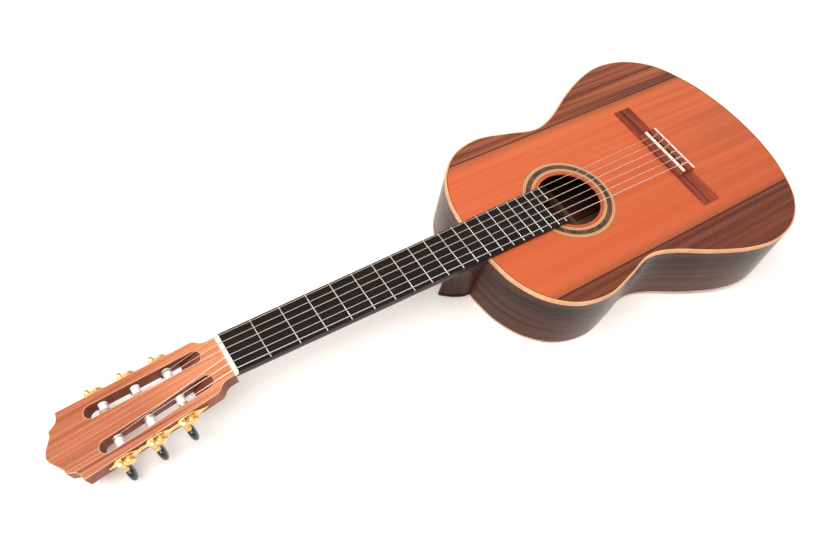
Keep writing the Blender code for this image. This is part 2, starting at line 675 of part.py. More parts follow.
def make_bracing(parent, spruce):
    top = -TOP_THICKNESS - GLUE_GAP
    clear = rim + LINING_WIDTH + 0.0015
    def reach(x):
        return min(half_width(x - BAR_WIDTH / 2), half_width(x + BAR_WIDTH / 2)) - clear
    low_bar = top - BAR_HEIGHT
    strut_low = top - STRUT_HEIGHT
    lower = LOWER_BAR_X
    upper = UPPER_BAR_X
    ends = (lower, -reach(lower)), (lower, reach(lower))
    whole = bar("top_bracing", *ends, BAR_WIDTH, low_bar, top, parent, spruce)
    ends = (upper, -reach(upper)), (upper, reach(upper))
    pieces = [bar("upper_bar", *ends, BAR_WIDTH, low_bar, top, parent)]
    for side, sign in (("treble", 1), ("bass", -1)):
        y = sign * (HOLE_RADIUS + 0.010)
        pieces.append(bar(f"hole_strip_{side}", (upper, y), (lower, y), BAR_WIDTH, strut_low, top, parent))
    for index in range(STRUT_COUNT):
        share = index / (STRUT_COUNT - 1) - 0.5
        start = (lower, share * STRUT_SPREAD_START)
        end = (STRUT_END_X - 0.11 * abs(share) * 0.5, share * STRUT_SPREAD_END)
        pieces.append(bar(f"strut_{index + 1}", start, end, STRUT_WIDTH, strut_low, top, parent))
    for side, sign in (("treble", 1), ("bass", -1)):
        start = (STRUT_END_X + 0.004, -sign * 0.004)
        end = (STRUT_END_X - 0.040, sign * STRUT_SPREAD_END * 0.56)
        pieces.append(bar(f"closing_bar_{side}", start, end, STRUT_WIDTH, strut_low - 0.0005, top, parent))
    combine(whole, pieces, "UNION")
    def bar_rings(x, span):
        rings = []
        for y in np.linspace(-span, span, 9):
            low = back_inside_z(x, y)
            high = low + BACK_BAR_HEIGHT * (1 - 0.35 * (y / span) ** 4)
            half = BAR_WIDTH / 2
            rings.append([(x - half, y, low), (x + half, y, low), (x + half, y, high), (x - half, y, high)])
        return rings
    strip_half = SEAM_STRIP_WIDTH / 2
    start = body_x + rim + FOOT_LENGTH + 0.004
    end = tail_x - rim - TAIL_BLOCK_LENGTH - 0.004
    rings = []
    for x in np.linspace(start, end, 13):
        low = back_inside_z(x, 0.0) + 0.0003
        high = low + SEAM_STRIP_THICKNESS
        rings.append([(x, -strip_half, low), (x, strip_half, low),
                      (x, strip_half, high), (x, -strip_half, high)])
    whole = add_mesh("back_bracing", *loft(rings), parent, spruce)
    bars = []
    for index, place in enumerate(BACK_BAR_PLACES):
        x = body_x + place
        bars.append(add_mesh(f"back_bar_{index + 1}", *loft(bar_rings(x, reach(x))), parent))
    combine(whole, bars, "UNION")


def head_outline():
    """Full outline as (u, v), starting on the bass side at the nut."""
    half = [(u, v) for u, v in HEAD_HALF_OUTLINE]
    return half + mirrored(half[:-1])[::-1]


def slot_outline(sign):
    start = Vector(SLOT_START)
    end = Vector(SLOT_END)
    way = (end - start).normalized()
    across = Vector((-way.y, way.x))
    radius = SLOT_WIDTH / 2
    first = start + way * radius
    last = end - way * radius
    points = []
    for centre, turn in ((last, -math.pi / 2), (first, math.pi / 2)):
        for k in range(9):
            angle = turn + math.pi * k / 8
            points.append(centre + way * math.cos(angle) * radius + across * math.sin(angle) * radius)
    return [(p.x, sign * p.y) for p in points]


def side_frame(sign):
    """Matrix from the tuners' frame on one side of the head to the head's frame; sign is 1 for bass."""
    (u0, v0), (u1, v1) = HEAD_HALF_OUTLINE[SIDE_START], HEAD_HALF_OUTLINE[SIDE_END]
    middle = ROLLER_PLACES[1]
    v = v0 + (v1 - v0) * (middle - u0) / (u1 - u0)
    lean = math.atan2(v1 - v0, u1 - u0)
    a = Vector((math.cos(lean), sign * math.sin(lean), 0.0)) * sign
    c = Vector((0.0, 0.0, 1.0))
    b = c.cross(a)
    turn = Matrix((a, b, c)).transposed().to_4x4()
    return Matrix.Translation((middle, sign * v, -ROLLER_DEPTH)) @ turn


def roller_a(index, sign):
    """Place of a roller along the tuners' frame, and the way from it to its worm."""
    return sign * (ROLLER_PLACES[index] - ROLLER_PLACES[1]), sign


def slot_reach(sign, a):
    """How far the slot's two walls are below the head's side at a roller."""
    back = side_frame(sign).inverted()
    start = Vector((*SLOT_START, 0.0))
    end = Vector((*SLOT_END, 0.0))
    if sign < 0:
        start.y, end.y = -start.y, -end.y
    way = (end - start).normalized()
    across = Vector((-way.y, way.x, 0.0)) * SLOT_WIDTH / 2
    depths = []
    for shift in (across, -across):
        p = back @ (start + shift)
        q = back @ (end + shift)
        depths.append(p.y + (q.y - p.y) * (a - p.x) / (q.x - p.x))
    return min(depths), max(depths)


def make_head(parent, sides, mahogany, face_wood):
    veneer_low = -PLATE_VENEER
    slots = [add_mesh(f"slot_cut_{name}", *prism(slot_outline(sign), -0.03, 0.01), parent)
             for name, sign in (("bass", 1), ("treble", -1))]
    core = prism(head_outline(), -HEAD_THICKNESS, veneer_low - GLUE_GAP)
    head = add_mesh("headstock", *core, parent, mahogany)
    bores = []
    for name, sign in (("bass", 1), ("treble", -1)):
        for index in range(len(ROLLER_PLACES)):
            a, _ = roller_a(index, sign)
            inner, _ = slot_reach(sign, a)
            radius = AXLE_RADIUS + RUN_CLEARANCE
            depth = inner - ROLLER_PIN_LENGTH - RUN_CLEARANCE
            shape = lathe([(depth, radius), (0.003, radius)], 16, "Y")
            bores.append(add_mesh(f"axle_bore_{name}_{index + 1}", *shape, sides[sign], place=(a, 0.0, 0.0)))
    combine(head, slots + bores, "DIFFERENCE")
    plate = add_mesh("head_plate", *prism(head_outline(), veneer_low, 0.0), parent, face_wood)
    combine(plate, slots, "DIFFERENCE")


def tuner_plate_outline():
    """Lyre-like outline in a and c: a lobe at each tuner, narrow between, pointed at both ends."""
    lobe = TUNER_PLATE_LOBE
    waist = TUNER_PLATE_WAIST
    upper = [(-TUNER_PLATE_HALF_LENGTH, 0.0), (-TUNER_PLATE_HALF_LENGTH + 0.006, waist * 0.7)]
    for place in ROLLER_PLACES:
        a = place - ROLLER_PLACES[1]
        upper += [(a - 0.0125, waist), (a - 0.0085, lobe * 0.72), (a - 0.0035, lobe),
                  (a + 0.0110, lobe), (a + 0.0135, lobe * 0.6), (a + 0.0165, waist)]
    upper += [(TUNER_PLATE_HALF_LENGTH - 0.0012, waist * 0.5), (TUNER_PLATE_HALF_LENGTH, 0.0)]
    return upper + [(a, -c) for a, c in upper[1:-1]][::-1]


def make_tuner_plate(name, sign, frame, brass):
    low = RUN_CLEARANCE
    high = low + TUNER_PLATE_THICKNESS
    outline = [(sign * a, c) for a, c in tuner_plate_outline()]
    rings = [[(a, b, c) for a, c in outline] for b in (low, high)]
    plate = add_mesh(name, *loft(rings), frame, brass)
    blocks = []
    bores = []
    for index in range(len(ROLLER_PLACES)):
        a, way = roller_a(index, sign)
        worm_a = a + way * WORM_DISTANCE
        for level, side in (("upper", 1), ("lower", -1)):
            ends = sorted((side * BEARING_INNER, side * BEARING_OUTER))
            blocks.append(add_box(
                f"{name}_{level}_bearing_{index + 1}",
                (worm_a - BEARING_HALF_WIDTH, low + TUNER_PLATE_THICKNESS / 2, ends[0]),
                (worm_a + BEARING_HALF_WIDTH, WORM_AXIS_B + BEARING_HALF_WIDTH, ends[1]), frame))
        radius = JOURNAL_RADIUS + RUN_CLEARANCE
        shape = lathe([(-0.010, radius), (0.010, radius)], 16)
        place = (worm_a, WORM_AXIS_B, 0.0)
        bores.append(add_mesh(f"{name}_worm_bore_{index + 1}", *shape, frame, place=place))
        shape = lathe([(-0.001, AXLE_RADIUS + RUN_CLEARANCE), (0.003, AXLE_RADIUS + RUN_CLEARANCE)], 16, "Y")
        bores.append(add_mesh(f"{name}_axle_bore_{index + 1}", *shape, frame, place=(a, 0.0, 0.0)))
    combine(plate, blocks, "UNION")
    combine(plate, bores, "DIFFERENCE")


def gear_shape():
    """A toothed wheel about the b axis, its teeth leaning with the worm's thread."""
    pitch_radius = GEAR_TEETH * THREAD_PITCH / (2 * math.pi)
    lead = THREAD_PITCH / (math.pi * (WORM_TIP_RADIUS + WORM_ROOT_RADIUS))
    lean = GEAR_THICKNESS / 2 * lead / pitch_radius
    step = 2 * math.pi / GEAR_TEETH
    tooth = ((-0.25, GEAR_ROOT_RADIUS), (-0.10, GEAR_TIP_RADIUS),
             (0.10, GEAR_TIP_RADIUS), (0.25, GEAR_ROOT_RADIUS))
    bore_radius = GEAR_SPIGOT_RADIUS + GLUE_GAP
    verts = []
    faces = []
    rim_count = GEAR_TEETH * len(tooth)
    for side in (-1, 1):
        for k in range(GEAR_TEETH):
            for share, radius in tooth:
                angle = step * (k + share) - side * lean
                verts.append((radius * math.cos(angle), side * GEAR_THICKNESS / 2, radius * math.sin(angle)))
    for side in (-1, 1):
        for k in range(rim_count):
            angle = 2 * math.pi * k / rim_count
            x, z = bore_radius * math.cos(angle), bore_radius * math.sin(angle)
            verts.append((x, side * GEAR_THICKNESS / 2, z))
    for k in range(rim_count):
        nxt = (k + 1) % rim_count
        rim_near, rim_far, bore_near, bore_far = (k + rim_count * part for part in range(4))
        faces.append((k, nxt, nxt + rim_count, rim_far))
        faces.append((bore_near, bore_far, nxt + 3 * rim_count, nxt + 2 * rim_count))
        faces.append((rim_near, bore_near, nxt + 2 * rim_count, nxt))
        faces.append((rim_far, nxt + rim_count, nxt + 3 * rim_count, bore_far))
    return verts, faces


def worm_shape(phase):
    """Shaft along c with a right-handed thread between its bearings, and a collar under the lower one."""
    sides = 12
    rows = []
    end_gap = RUN_CLEARANCE
    thread_rows = int(round(2 * WORM_HALF_LENGTH / (THREAD_PITCH / 5)))
    shaft_end = -BUTTON_TOP - BUTTON_SOCKET_DEPTH + RUN_CLEARANCE
    rows += [(shaft_end, JOURNAL_RADIUS * 0.9), (-BUTTON_TOP + 0.0012, JOURNAL_RADIUS * 0.9),
             (-BUTTON_TOP + 0.0015, COLLAR_RADIUS * 0.8), (-BEARING_OUTER - end_gap - 0.0025, COLLAR_RADIUS),
             (-BEARING_OUTER - end_gap, COLLAR_RADIUS), (-BEARING_OUTER - end_gap + 0.0001, JOURNAL_RADIUS),
             (-WORM_HALF_LENGTH - 0.0004, JOURNAL_RADIUS)]
    for k in range(thread_rows + 1):
        rows.append((-WORM_HALF_LENGTH + 2 * WORM_HALF_LENGTH * k / thread_rows, None))
    rows += [(WORM_HALF_LENGTH + 0.0004, JOURNAL_RADIUS), (BEARING_OUTER + end_gap - 0.0001, JOURNAL_RADIUS),
             (BEARING_OUTER + end_gap, COLLAR_RADIUS * 0.85),
             (BEARING_OUTER + end_gap + 0.0010, COLLAR_RADIUS * 0.6)]
    rings = []
    for along, radius in rows:
        ring = []
        for k in range(sides):
            turn = 2 * math.pi * k / sides
            if radius is None:
                place = ((along - phase) / THREAD_PITCH - turn / (2 * math.pi) + 0.5) % 1.0 - 0.5
                share = min(1.0, max(0.0, (0.26 - abs(place)) / 0.12))
                here = WORM_ROOT_RADIUS + (WORM_TIP_RADIUS - WORM_ROOT_RADIUS) * share
            else:
                here = radius
            ring.append((here * math.cos(turn), here * math.sin(turn), along))
        rings.append(ring)
    return loft(rings)


def button_shape():
    """A flattened oval knob, wide along b, under the shaft's end."""
    rows = ((0.00, 0.34), (0.10, 0.62), (0.30, 0.92), (0.52, 1.00), (0.74, 0.90), (0.92, 0.60), (1.00, 0.30))
    rings = []
    for drop, share in rows:
        c = -BUTTON_TOP - drop * BUTTON_HEIGHT
        rings.append([(x * BUTTON_THICKNESS / 2 * share**0.6, y * BUTTON_WIDTH / 2 * share, c)
                      for x, y in circle(1.0, 14)])
    return loft(rings)


def make_tuners(names, sign, frame, materials):
    brass, white, black = materials
    for index in range(len(ROLLER_PLACES)):
        a, way = roller_a(index, sign)
        name = names[index]
        inner, outer = slot_reach(sign, a)
        gear_low = WORM_AXIS_B - GEAR_THICKNESS / 2
        gear_high = WORM_AXIS_B + GEAR_THICKNESS / 2
        wall = 0.0006
        profile = [
            (inner - ROLLER_PIN_LENGTH, AXLE_RADIUS), (inner + wall - 0.0001, AXLE_RADIUS),
            (inner + wall, ROLLER_RADIUS), (outer - wall, ROLLER_RADIUS),
            (outer - wall + 0.0001, AXLE_RADIUS), (gear_low - 2 * GLUE_GAP, AXLE_RADIUS),
            (gear_low - 2 * GLUE_GAP + 0.0001, GEAR_SPIGOT_RADIUS),
            (gear_high + GLUE_GAP, GEAR_SPIGOT_RADIUS),
            (gear_high + GLUE_GAP + 0.0001, AXLE_RADIUS * 1.35), (gear_high + 0.0014, AXLE_RADIUS * 1.2),
        ]
        add_mesh(f"roller_{name}", *lathe(profile, 18, "Y"), frame, white, place=(a, 0.0, 0.0))
        add_mesh(f"gear_{name}", *gear_shape(), frame, brass, place=(a, WORM_AXIS_B, 0.0))
        worm_place = (a + way * WORM_DISTANCE, WORM_AXIS_B, 0.0)
        phase = 0.0 if way > 0 else THREAD_PITCH / 2
        add_mesh(f"worm_{name}", *worm_shape(phase), frame, brass, place=worm_place)
        button = add_mesh(f"button_{name}", *button_shape(), frame, black, place=worm_place)
        depth = -BUTTON_TOP - BUTTON_SOCKET_DEPTH - RUN_CLEARANCE
        shape = lathe([(depth, JOURNAL_RADIUS), (-BUTTON_TOP + 0.002, JOURNAL_RADIUS)], 12)
        socket = add_mesh(f"button_socket_{name}", *shape, frame, place=worm_place)
        combine(button, [socket], "DIFFERENCE")


def rounded(points, radius, steps=3):
    """Rounds each inner corner of a path by an arc-like curve of about this radius."""
    made = [Vector(points[0])]
    for before, here, after in zip(points, points[1:], points[2:]):
        before, here, after = Vector(before), Vector(here), Vector(after)
        cut = min(radius, (before - here).length * 0.45, (after - here).length * 0.45)
        start = here + (before - here).normalized() * cut
        end = here + (after - here).normalized() * cut
        for k in range(steps + 1):
            t = k / steps
            made.append(start * (1 - t) ** 2 + here * 2 * t * (1 - t) + end * t**2)
    made.append(Vector(points[-1]))
    return made


def tube(path, radius, sides):
    """Round tube along a path, its rings kept square to it."""
    rings = []
    normal = Vector((0.0, 0.0, 1.0))
    for i, here in enumerate(path):
        ahead = path[min(i + 1, len(path) - 1)] - path[max(i - 1, 0)]
        tangent = ahead.normalized()
        normal = (normal - tangent * normal.dot(tangent)).normalized()
        other = tangent.cross(normal)
        rings.append([tuple(here + normal * x + other * y) for x, y in circle(radius, sides)])
    return loft(rings)


def make_strings(parent, head_matrix, nylon, wound):
    for index, diameter in enumerate(STRING_DIAMETERS):
        radius = diameter / 2
        treble = index < 3
        order = index if treble else 5 - index
        sign = -1 if treble else 1
        u = ROLLER_PLACES[order]
        near = abs(string_y(index, STRING_SPAN_NUT))
        slot_share = (u - SLOT_START[0]) / (SLOT_END[0] - SLOT_START[0])
        centre = SLOT_START[1] + (SLOT_END[1] - SLOT_START[1]) * slot_share
        v = centre + max(-0.003, min(0.003, near - centre))
        w = -ROLLER_DEPTH + ROLLER_RADIUS + RUN_CLEARANCE + radius
        y_nut = string_y(index, STRING_SPAN_NUT)
        y_end = string_y(index, STRING_SPAN_SADDLE)
        saddle_z = SADDLE_TOP + GLUE_GAP + radius
        rear = BRIDGE_FRONT_X + BRIDGE_LENGTH
        tie_front = rear - TIE_BLOCK_LENGTH
        over = TIE_HEIGHT + GLUE_GAP + radius
        behind = rear + 0.0006 + radius
        points = [
            head_matrix @ Vector((u, sign * v, w)),
            (-NUT_THICKNESS, y_nut, nut_string_z(radius)),
            (SADDLE_X + SADDLE_THICKNESS / 2, y_end, saddle_z),
            (tie_front - 0.0006, y_end, TIE_HOLE_Z),
            (behind, y_end, TIE_HOLE_Z),
            (behind, y_end, over),
            (tie_front + 0.0010, y_end, over),
        ]
        shape = tube(rounded(points, 0.0012), radius, STRING_SIDES)
        add_mesh(f"string_{STRING_NAMES[index]}", *shape, parent, nylon if treble else wound)


def set_down(guitar):
    """Turns the guitar until its back strip's flat stretch is level, then centres it on the table."""
    guitar.rotation_euler = (0.0, math.atan(rest_slope()), 0.0)
    bpy.context.view_layer.update()
    graph = bpy.context.evaluated_depsgraph_get()
    corners = []
    for found in bpy.context.scene.objects:
        if found.type != "MESH" or found.hide_render:
            continue
        mesh = found.evaluated_get(graph).data
        points = np.empty(len(mesh.vertices) * 3)
        mesh.vertices.foreach_get("co", points)
        world = np.array(found.matrix_world)
        points = points.reshape(-1, 3) @ world[:3, :3].T + world[:3, 3]
        corners += [points.min(axis=0), points.max(axis=0)]
    low = np.min(corners, axis=0)
    high = np.max(corners, axis=0)
    guitar.location = (-(low[0] + high[0]) / 2, -(low[1] + high[1]) / 2, -low[2])


clear_scene()
cedar = material("cedar", (0.62, 0.20, 0.075), 0.35)
wing_wood = material("wing_cedar", (0.33, 0.10, 0.05), 0.35)
rosewood = material("rosewood", (0.075, 0.030, 0.022), 0.25)
mahogany = material("mahogany", (0.14, 0.045, 0.03), 0.35)
face_wood = material("face_veneer", (0.42, 0.17, 0.09), 0.35)
maple = material("maple", (0.62, 0.36, 0.17), 0.4)
ebony = material("ebony", (0.02, 0.018, 0.017), 0.5)
bone = material("bone", (0.86, 0.82, 0.74), 0.4)
spruce = material("spruce", (0.66, 0.47, 0.27), 0.6)
rosette_wood = material("rosette_mosaic", (0.40, 0.22, 0.11), 0.4)
brass = material("gold_brass", (0.83, 0.61, 0.25), 0.25, 1.0)
white_plastic = material("white_plastic", (0.85, 0.85, 0.83), 0.35)
button_black = material("black_button", (0.03, 0.03, 0.035), 0.2)
nylon = material("clear_nylon", (0.72, 0.70, 0.66), 0.25)
wound = material("silver_wound", (0.72, 0.72, 0.72), 0.3, 1.0)

guitar = add_empty("guitar_frame")
cos_head = math.cos(HEAD_ANGLE)
sin_head = math.sin(HEAD_ANGLE)
head_matrix = Matrix((
    (-cos_head, 0.0, -sin_head, -NUT_THICKNESS),
    (0.0, -1.0, 0.0, 0.0),
    (-sin_head, 0.0, cos_head, HEAD_FACE_Z),
    (0.0, 0.0, 0.0, 1.0),
))
head = add_empty("head_frame", guitar, head_matrix)
sides = {
    1: add_empty("tuner_frame_bass", head, side_frame(1)),
    -1: add_empty("tuner_frame_treble", head, side_frame(-1)),
}

make_soundboard(guitar, cedar, wing_wood, rosette_wood)
make_back(guitar, rosewood, maple)
make_rims(guitar, rosewood, maple, spruce)
make_tail_block(guitar, mahogany)
make_neck(guitar, mahogany, rosewood)
make_fingerboard(guitar, ebony)
make_nut(guitar, bone)
make_bridge(guitar, rosewood, bone, white_plastic)
make_bracing(guitar, spruce)
make_head(head, sides, mahogany, face_wood)
make_tuner_plate("tuner_plate_bass", 1, sides[1], brass)
make_tuner_plate("tuner_plate_treble", -1, sides[-1], brass)
tuner_materials = (brass, white_plastic, button_black)
make_tuners(("e6", "a5", "d4"), 1, sides[1], tuner_materials)
make_tuners(("e1", "b2", "g3"), -1, sides[-1], tuner_materials)
make_strings(guitar, head_matrix, nylon, wound)
set_down(guitar)
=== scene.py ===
import json
import math

import bmesh
import bpy
import numpy as np
from mathutils import Matrix, Vector


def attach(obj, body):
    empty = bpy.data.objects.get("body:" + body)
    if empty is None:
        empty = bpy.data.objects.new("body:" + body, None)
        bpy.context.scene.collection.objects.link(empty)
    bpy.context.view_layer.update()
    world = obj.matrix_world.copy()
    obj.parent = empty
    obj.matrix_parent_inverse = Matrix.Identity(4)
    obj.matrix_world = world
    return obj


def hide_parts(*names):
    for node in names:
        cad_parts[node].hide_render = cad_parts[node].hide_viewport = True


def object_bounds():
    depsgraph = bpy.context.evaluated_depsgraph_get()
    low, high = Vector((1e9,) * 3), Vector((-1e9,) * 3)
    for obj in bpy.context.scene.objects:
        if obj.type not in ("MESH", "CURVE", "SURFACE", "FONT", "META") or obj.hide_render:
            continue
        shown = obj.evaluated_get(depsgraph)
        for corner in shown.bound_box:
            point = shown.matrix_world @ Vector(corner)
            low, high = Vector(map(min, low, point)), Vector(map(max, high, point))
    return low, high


# Looks for the classical guitar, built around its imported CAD. Metres, +Z up.
# Pieces are drawn in the guitar's own frame: x from the nut to the tail, y to the treble side,
# z = 0 on the soundboard. Head pieces use the head's frame, tuner pieces the frame of their roller.

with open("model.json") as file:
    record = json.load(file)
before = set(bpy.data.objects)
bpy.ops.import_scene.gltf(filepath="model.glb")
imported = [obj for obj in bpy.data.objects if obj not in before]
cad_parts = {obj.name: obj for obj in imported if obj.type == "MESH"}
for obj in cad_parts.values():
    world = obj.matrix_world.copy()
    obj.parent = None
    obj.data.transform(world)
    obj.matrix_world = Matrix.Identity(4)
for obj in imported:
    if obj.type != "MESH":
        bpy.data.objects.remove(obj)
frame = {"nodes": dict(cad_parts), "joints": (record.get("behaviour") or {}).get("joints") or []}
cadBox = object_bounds()
cadNodes = frame["nodes"]
joints = {joint["name"]: joint for joint in frame["joints"]}
print("frame loaded:", len(cadNodes), "nodes")

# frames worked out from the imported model

glueGap = 0.0002
nutBack = 0.0050


def reachAlong(node, direction):
    spots = [vertex.co.dot(direction) for vertex in cadNodes[node].data.vertices]
    return min(spots), max(spots)


def axesMatrix(x, y, z, origin):
    return Matrix.Translation(origin) @ Matrix((x, y, z)).transposed().to_4x4()


def localBox(node, place):
    back = place.inverted()
    spots = np.array([back @ vertex.co for vertex in cadNodes[node].data.vertices])
    return Vector(spots.min(axis=0)), Vector(spots.max(axis=0))


flatFaces = [face for face in cadNodes["top_centre"].data.polygons if face.normal.z > 0.9]
flatFace = max(flatFaces, key=lambda face: face.area)
up = Vector((flatFace.normal.x, 0.0, flatFace.normal.z)).normalized()
across = Vector((0.0, 1.0, 0.0))
along = across.cross(up)
boardStart = reachAlong("fingerboard", along)[0] - glueGap
topLevel = reachAlong("top_centre", up)[1]
guitarFrame = axesMatrix(along, across, up, along * boardStart + up * topLevel)

headUp = Vector(joints["key_e6_turn"]["axis"]).normalized()
headStart = guitarFrame @ Vector((-nutBack, 0.0, 0.0))
headStart += up * (reachAlong("head_plate", headUp)[1] - headStart.dot(headUp)) / up.dot(headUp)
headFrame = axesMatrix((-across).cross(headUp), -across, headUp, headStart)


def tunerFrame(string):
    # a along the head's side, b out of it, c up; the origin is on the roller's axis at the head's side
    post = Vector(joints[f"post_{string}_turn"]["pos_m"])
    outward = Vector(joints[f"post_{string}_turn"]["axis"]).normalized()
    if outward.y * post.y < 0:
        outward = -outward
    plate = "tuner_plate_treble" if post.y > 0 else "tuner_plate_bass"
    side = reachAlong(plate, outward)[0] - 0.0003
    return axesMatrix(outward.cross(headUp), outward, headUp, post + outward * (side - post.dot(outward)))


strings = ("e1", "b2", "g3", "d4", "a5", "e6")      # treble to bass
tuners = {string: tunerFrame(string) for string in strings}

# meshes


def meshOf(name, shape):
    # a mesh from (verts, faces), its faces turned outwards
    verts, faces = shape
    mesh = bpy.data.meshes.new(name)
    mesh.from_pydata([tuple(vert) for vert in verts], [], [tuple(face) for face in faces])
    work = bmesh.new()
    work.from_mesh(mesh)
    bmesh.ops.recalc_face_normals(work, faces=work.faces)
    work.to_mesh(mesh)
    work.free()
    return mesh


def addPiece(name, shape, finish, place, body="guitar", replaces=(), sharpAngle=35, soft=False):
    return addObject(name, meshOf(name, shape), finish, place, body, replaces, sharpAngle, soft)


def addObject(name, mesh, finish, place, body="guitar", replaces=(), sharpAngle=35, soft=False):
    mesh.shade_smooth()
    mesh.set_sharp_from_angle(angle=math.radians(sharpAngle))
    if not mesh.materials:
        mesh.materials.append(finish)
    piece = bpy.data.objects.new(name, mesh)
    bpy.context.scene.collection.objects.link(piece)
    piece.matrix_world = place
    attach(piece, body)
    if replaces:
        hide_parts(*replaces)
    if soft:                                        # flat faces stay flat beside rounded edges
        weigh = piece.modifiers.new("weighted normals", "WEIGHTED_NORMAL")
        weigh.keep_sharp = True
    return piece


def bevelEdges(piece, width, segments=2):
    step = piece.modifiers.new("rounded edges", "BEVEL")
    step.width = width
    step.segments = segments
    step.limit_method = "ANGLE"
    step.angle_limit = math.radians(30)
    step.harden_normals = True
    return piece


def skin(rings, closed=False):
    size = len(rings[0])
    verts = [point for ring in rings for point in ring]
    faces = []
    for i in range(len(rings) - (0 if closed else 1)):
        here = i * size
        there = ((i + 1) % len(rings)) * size
        for k in range(size):
            nxt = (k + 1) % size
            faces.append((here + k, here + nxt, there + nxt, there + k))
    if not closed:
        faces.append(range(size)[::-1])
        faces.append(range(len(verts) - size, len(verts)))
    return verts, faces


def joined(shapes):
    verts, faces = [], []
    for more, moreFaces in shapes:
        faces += [[index + len(verts) for index in face] for face in moreFaces]
        verts += list(more)
    return verts, faces


def moved(shape, matrix):
    return [matrix @ Vector(vert) for vert in shape[0]], shape[1]


def circle(radius, sides, centre=(0.0, 0.0)):
    turns = [2 * math.pi * k / sides for k in range(sides)]
    return [(centre[0] + radius * math.cos(turn), centre[1] + radius * math.sin(turn)) for turn in turns]


def turned(profile, sides, axis="c"):
    # (along, radius) pairs turned about the frame's second axis (b) or third axis (c)
    rings = []
    for place, radius in profile:
        ring = circle(max(radius, 0.00002), sides)
        rings.append([(x, place, y) if axis == "b" else (x, y, place) for x, y in ring])
    return skin(rings)


def inset(loop, distance):
    # moves an anticlockwise loop inwards
    result = []
    for before, here, after in zip(loop[-1:] + loop[:-1], loop, loop[1:] + loop[:1]):
        first = (Vector(here) - Vector(before)).normalized()
        second = (Vector(after) - Vector(here)).normalized()
        way = (first + second).normalized()
        left = Vector((-way.y, way.x))
        share = distance / max(0.5, left.dot(Vector((-first.y, first.x))))
        result.append((here[0] + left.x * share, here[1] + left.y * share))
    return result


def roundedPlate(loops, low, high, edge, steps=3):
    # the outline first, then its holes, all anticlockwise
    work = bmesh.new()
    quarter = [math.pi / 2 * k / steps for k in range(steps + 1)]
    levels = [(low + edge * (1 - math.cos(turn)), edge * (1 - math.sin(turn))) for turn in quarter]
    levels += [(high + low - z, gap) for z, gap in reversed(levels)]
    ends = [[], []]
    for number, loop in enumerate(loops):
        side = 1 if number == 0 else -1
        rings = [[work.verts.new((x, y, z)) for x, y in inset(loop, side * gap)] for z, gap in levels]
        for lower, upper in zip(rings, rings[1:]):
            for k in range(len(loop)):
                nxt = (k + 1) % len(loop)
                work.faces.new((lower[k], lower[nxt], upper[nxt], upper[k]))
        for end, ring in zip(ends, (rings[0], rings[-1])):
            end += [work.edges.get((ring[k], ring[(k + 1) % len(ring)])) for k in range(len(ring))]
    for end in ends:
        bmesh.ops.triangle_fill(work, use_beauty=True, edges=end)
    work.verts.index_update()
    shape = [vert.co.copy() for vert in work.verts], [[v.index for v in face.verts] for face in work.faces]
    work.free()
    return shape


def smoothLoop(points, steps, closed=True):
    # a curve through the points, a few steps between each pair
    count = len(points)
    pts = [Vector(point) for point in points]
    result = []
    for i in range(count if closed else count - 1):
        if closed:
            p0, p1, p2, p3 = (pts[(i + k) % count] for k in (-1, 0, 1, 2))
        else:
            p0, p1, p2, p3 = (pts[min(max(i + k, 0), count - 1)] for k in (-1, 0, 1, 2))
        for k in range(steps):
            t = k / steps
            result.append(0.5 * (2 * p1 + (p2 - p0) * t + (2 * p0 - 5 * p1 + 4 * p2 - p3) * t**2
                                 + (3 * p1 - p0 - 3 * p2 + p3) * t**3))
    if not closed:
        result.append(pts[-1])
    return [tuple(point) for point in result]


def tube(path, radius, sides):
    # a round wire along a path, its ends slightly drawn in
    path = [Vector(point) for point in path]
    rings = []
    normal = Vector((0.123, 0.456, 0.881))
    last = len(path) - 1
    for i, here in enumerate(path):
        tangent = (path[min(i + 1, last)] - path[max(i - 1, 0)]).normalized()
        normal = (normal - tangent * normal.dot(tangent)).normalized()
        other = tangent.cross(normal)
        size = radius * (0.6 if i in (0, last) else 1.0)
        rings.append([here + normal * x + other * y for x, y in circle(size, sides)])
    return skin(rings)


def applied(shape, steps):
    # a mesh with these modifiers applied; each step is (kind, settings)
    mesh = meshOf("work", shape)
    blank = bpy.data.objects.new("work", mesh)
    bpy.context.scene.collection.objects.link(blank)
    for kind, settings in steps:
        step = blank.modifiers.new(kind, kind)
        for key, value in settings.items():
            setattr(step, key, value)
    bpy.context.view_layer.update()
    graph = bpy.context.evaluated_depsgraph_get()
    result = bpy.data.meshes.new_from_object(blank.evaluated_get(graph))
    bpy.data.objects.remove(blank)
    bpy.data.meshes.remove(mesh)
    return result


def cutShape(shape, cuts, finish):
    # one boolean cut, applied
    tool = bpy.data.objects.new("cutter", meshOf("cutter", cuts))
    bpy.context.scene.collection.objects.link(tool)
    result = applied(shape, [("BOOLEAN", {"operation": "DIFFERENCE", "solver": "EXACT", "object": tool})])
    bpy.data.objects.remove(tool)
    result.materials.clear()
    result.materials.append(finish)
    return result


# materials


def paint(red, green, blue):
    # a screen colour, 0 to 255, as the shader's numbers
    return tuple((value / 255 / 12.92 if value <= 10 else ((value / 255 + 0.055) / 1.055) ** 2.4)
                 for value in (red, green, blue)) + (1.0,)


def addNode(tree, kind, values=None, **settings):
    made = tree.nodes.new(kind)
    for key, value in settings.items():
        setattr(made, key, value)
    for key, value in (values or {}).items():
        if isinstance(value, bpy.types.NodeSocket):
            tree.links.new(value, made.inputs[key])
        else:
            made.inputs[key].default_value = value
    return made


def mixed(tree, factor, first, second):
    return addNode(tree, "ShaderNodeMix", {0: factor, 6: first, 7: second}, data_type="RGBA").outputs[2]


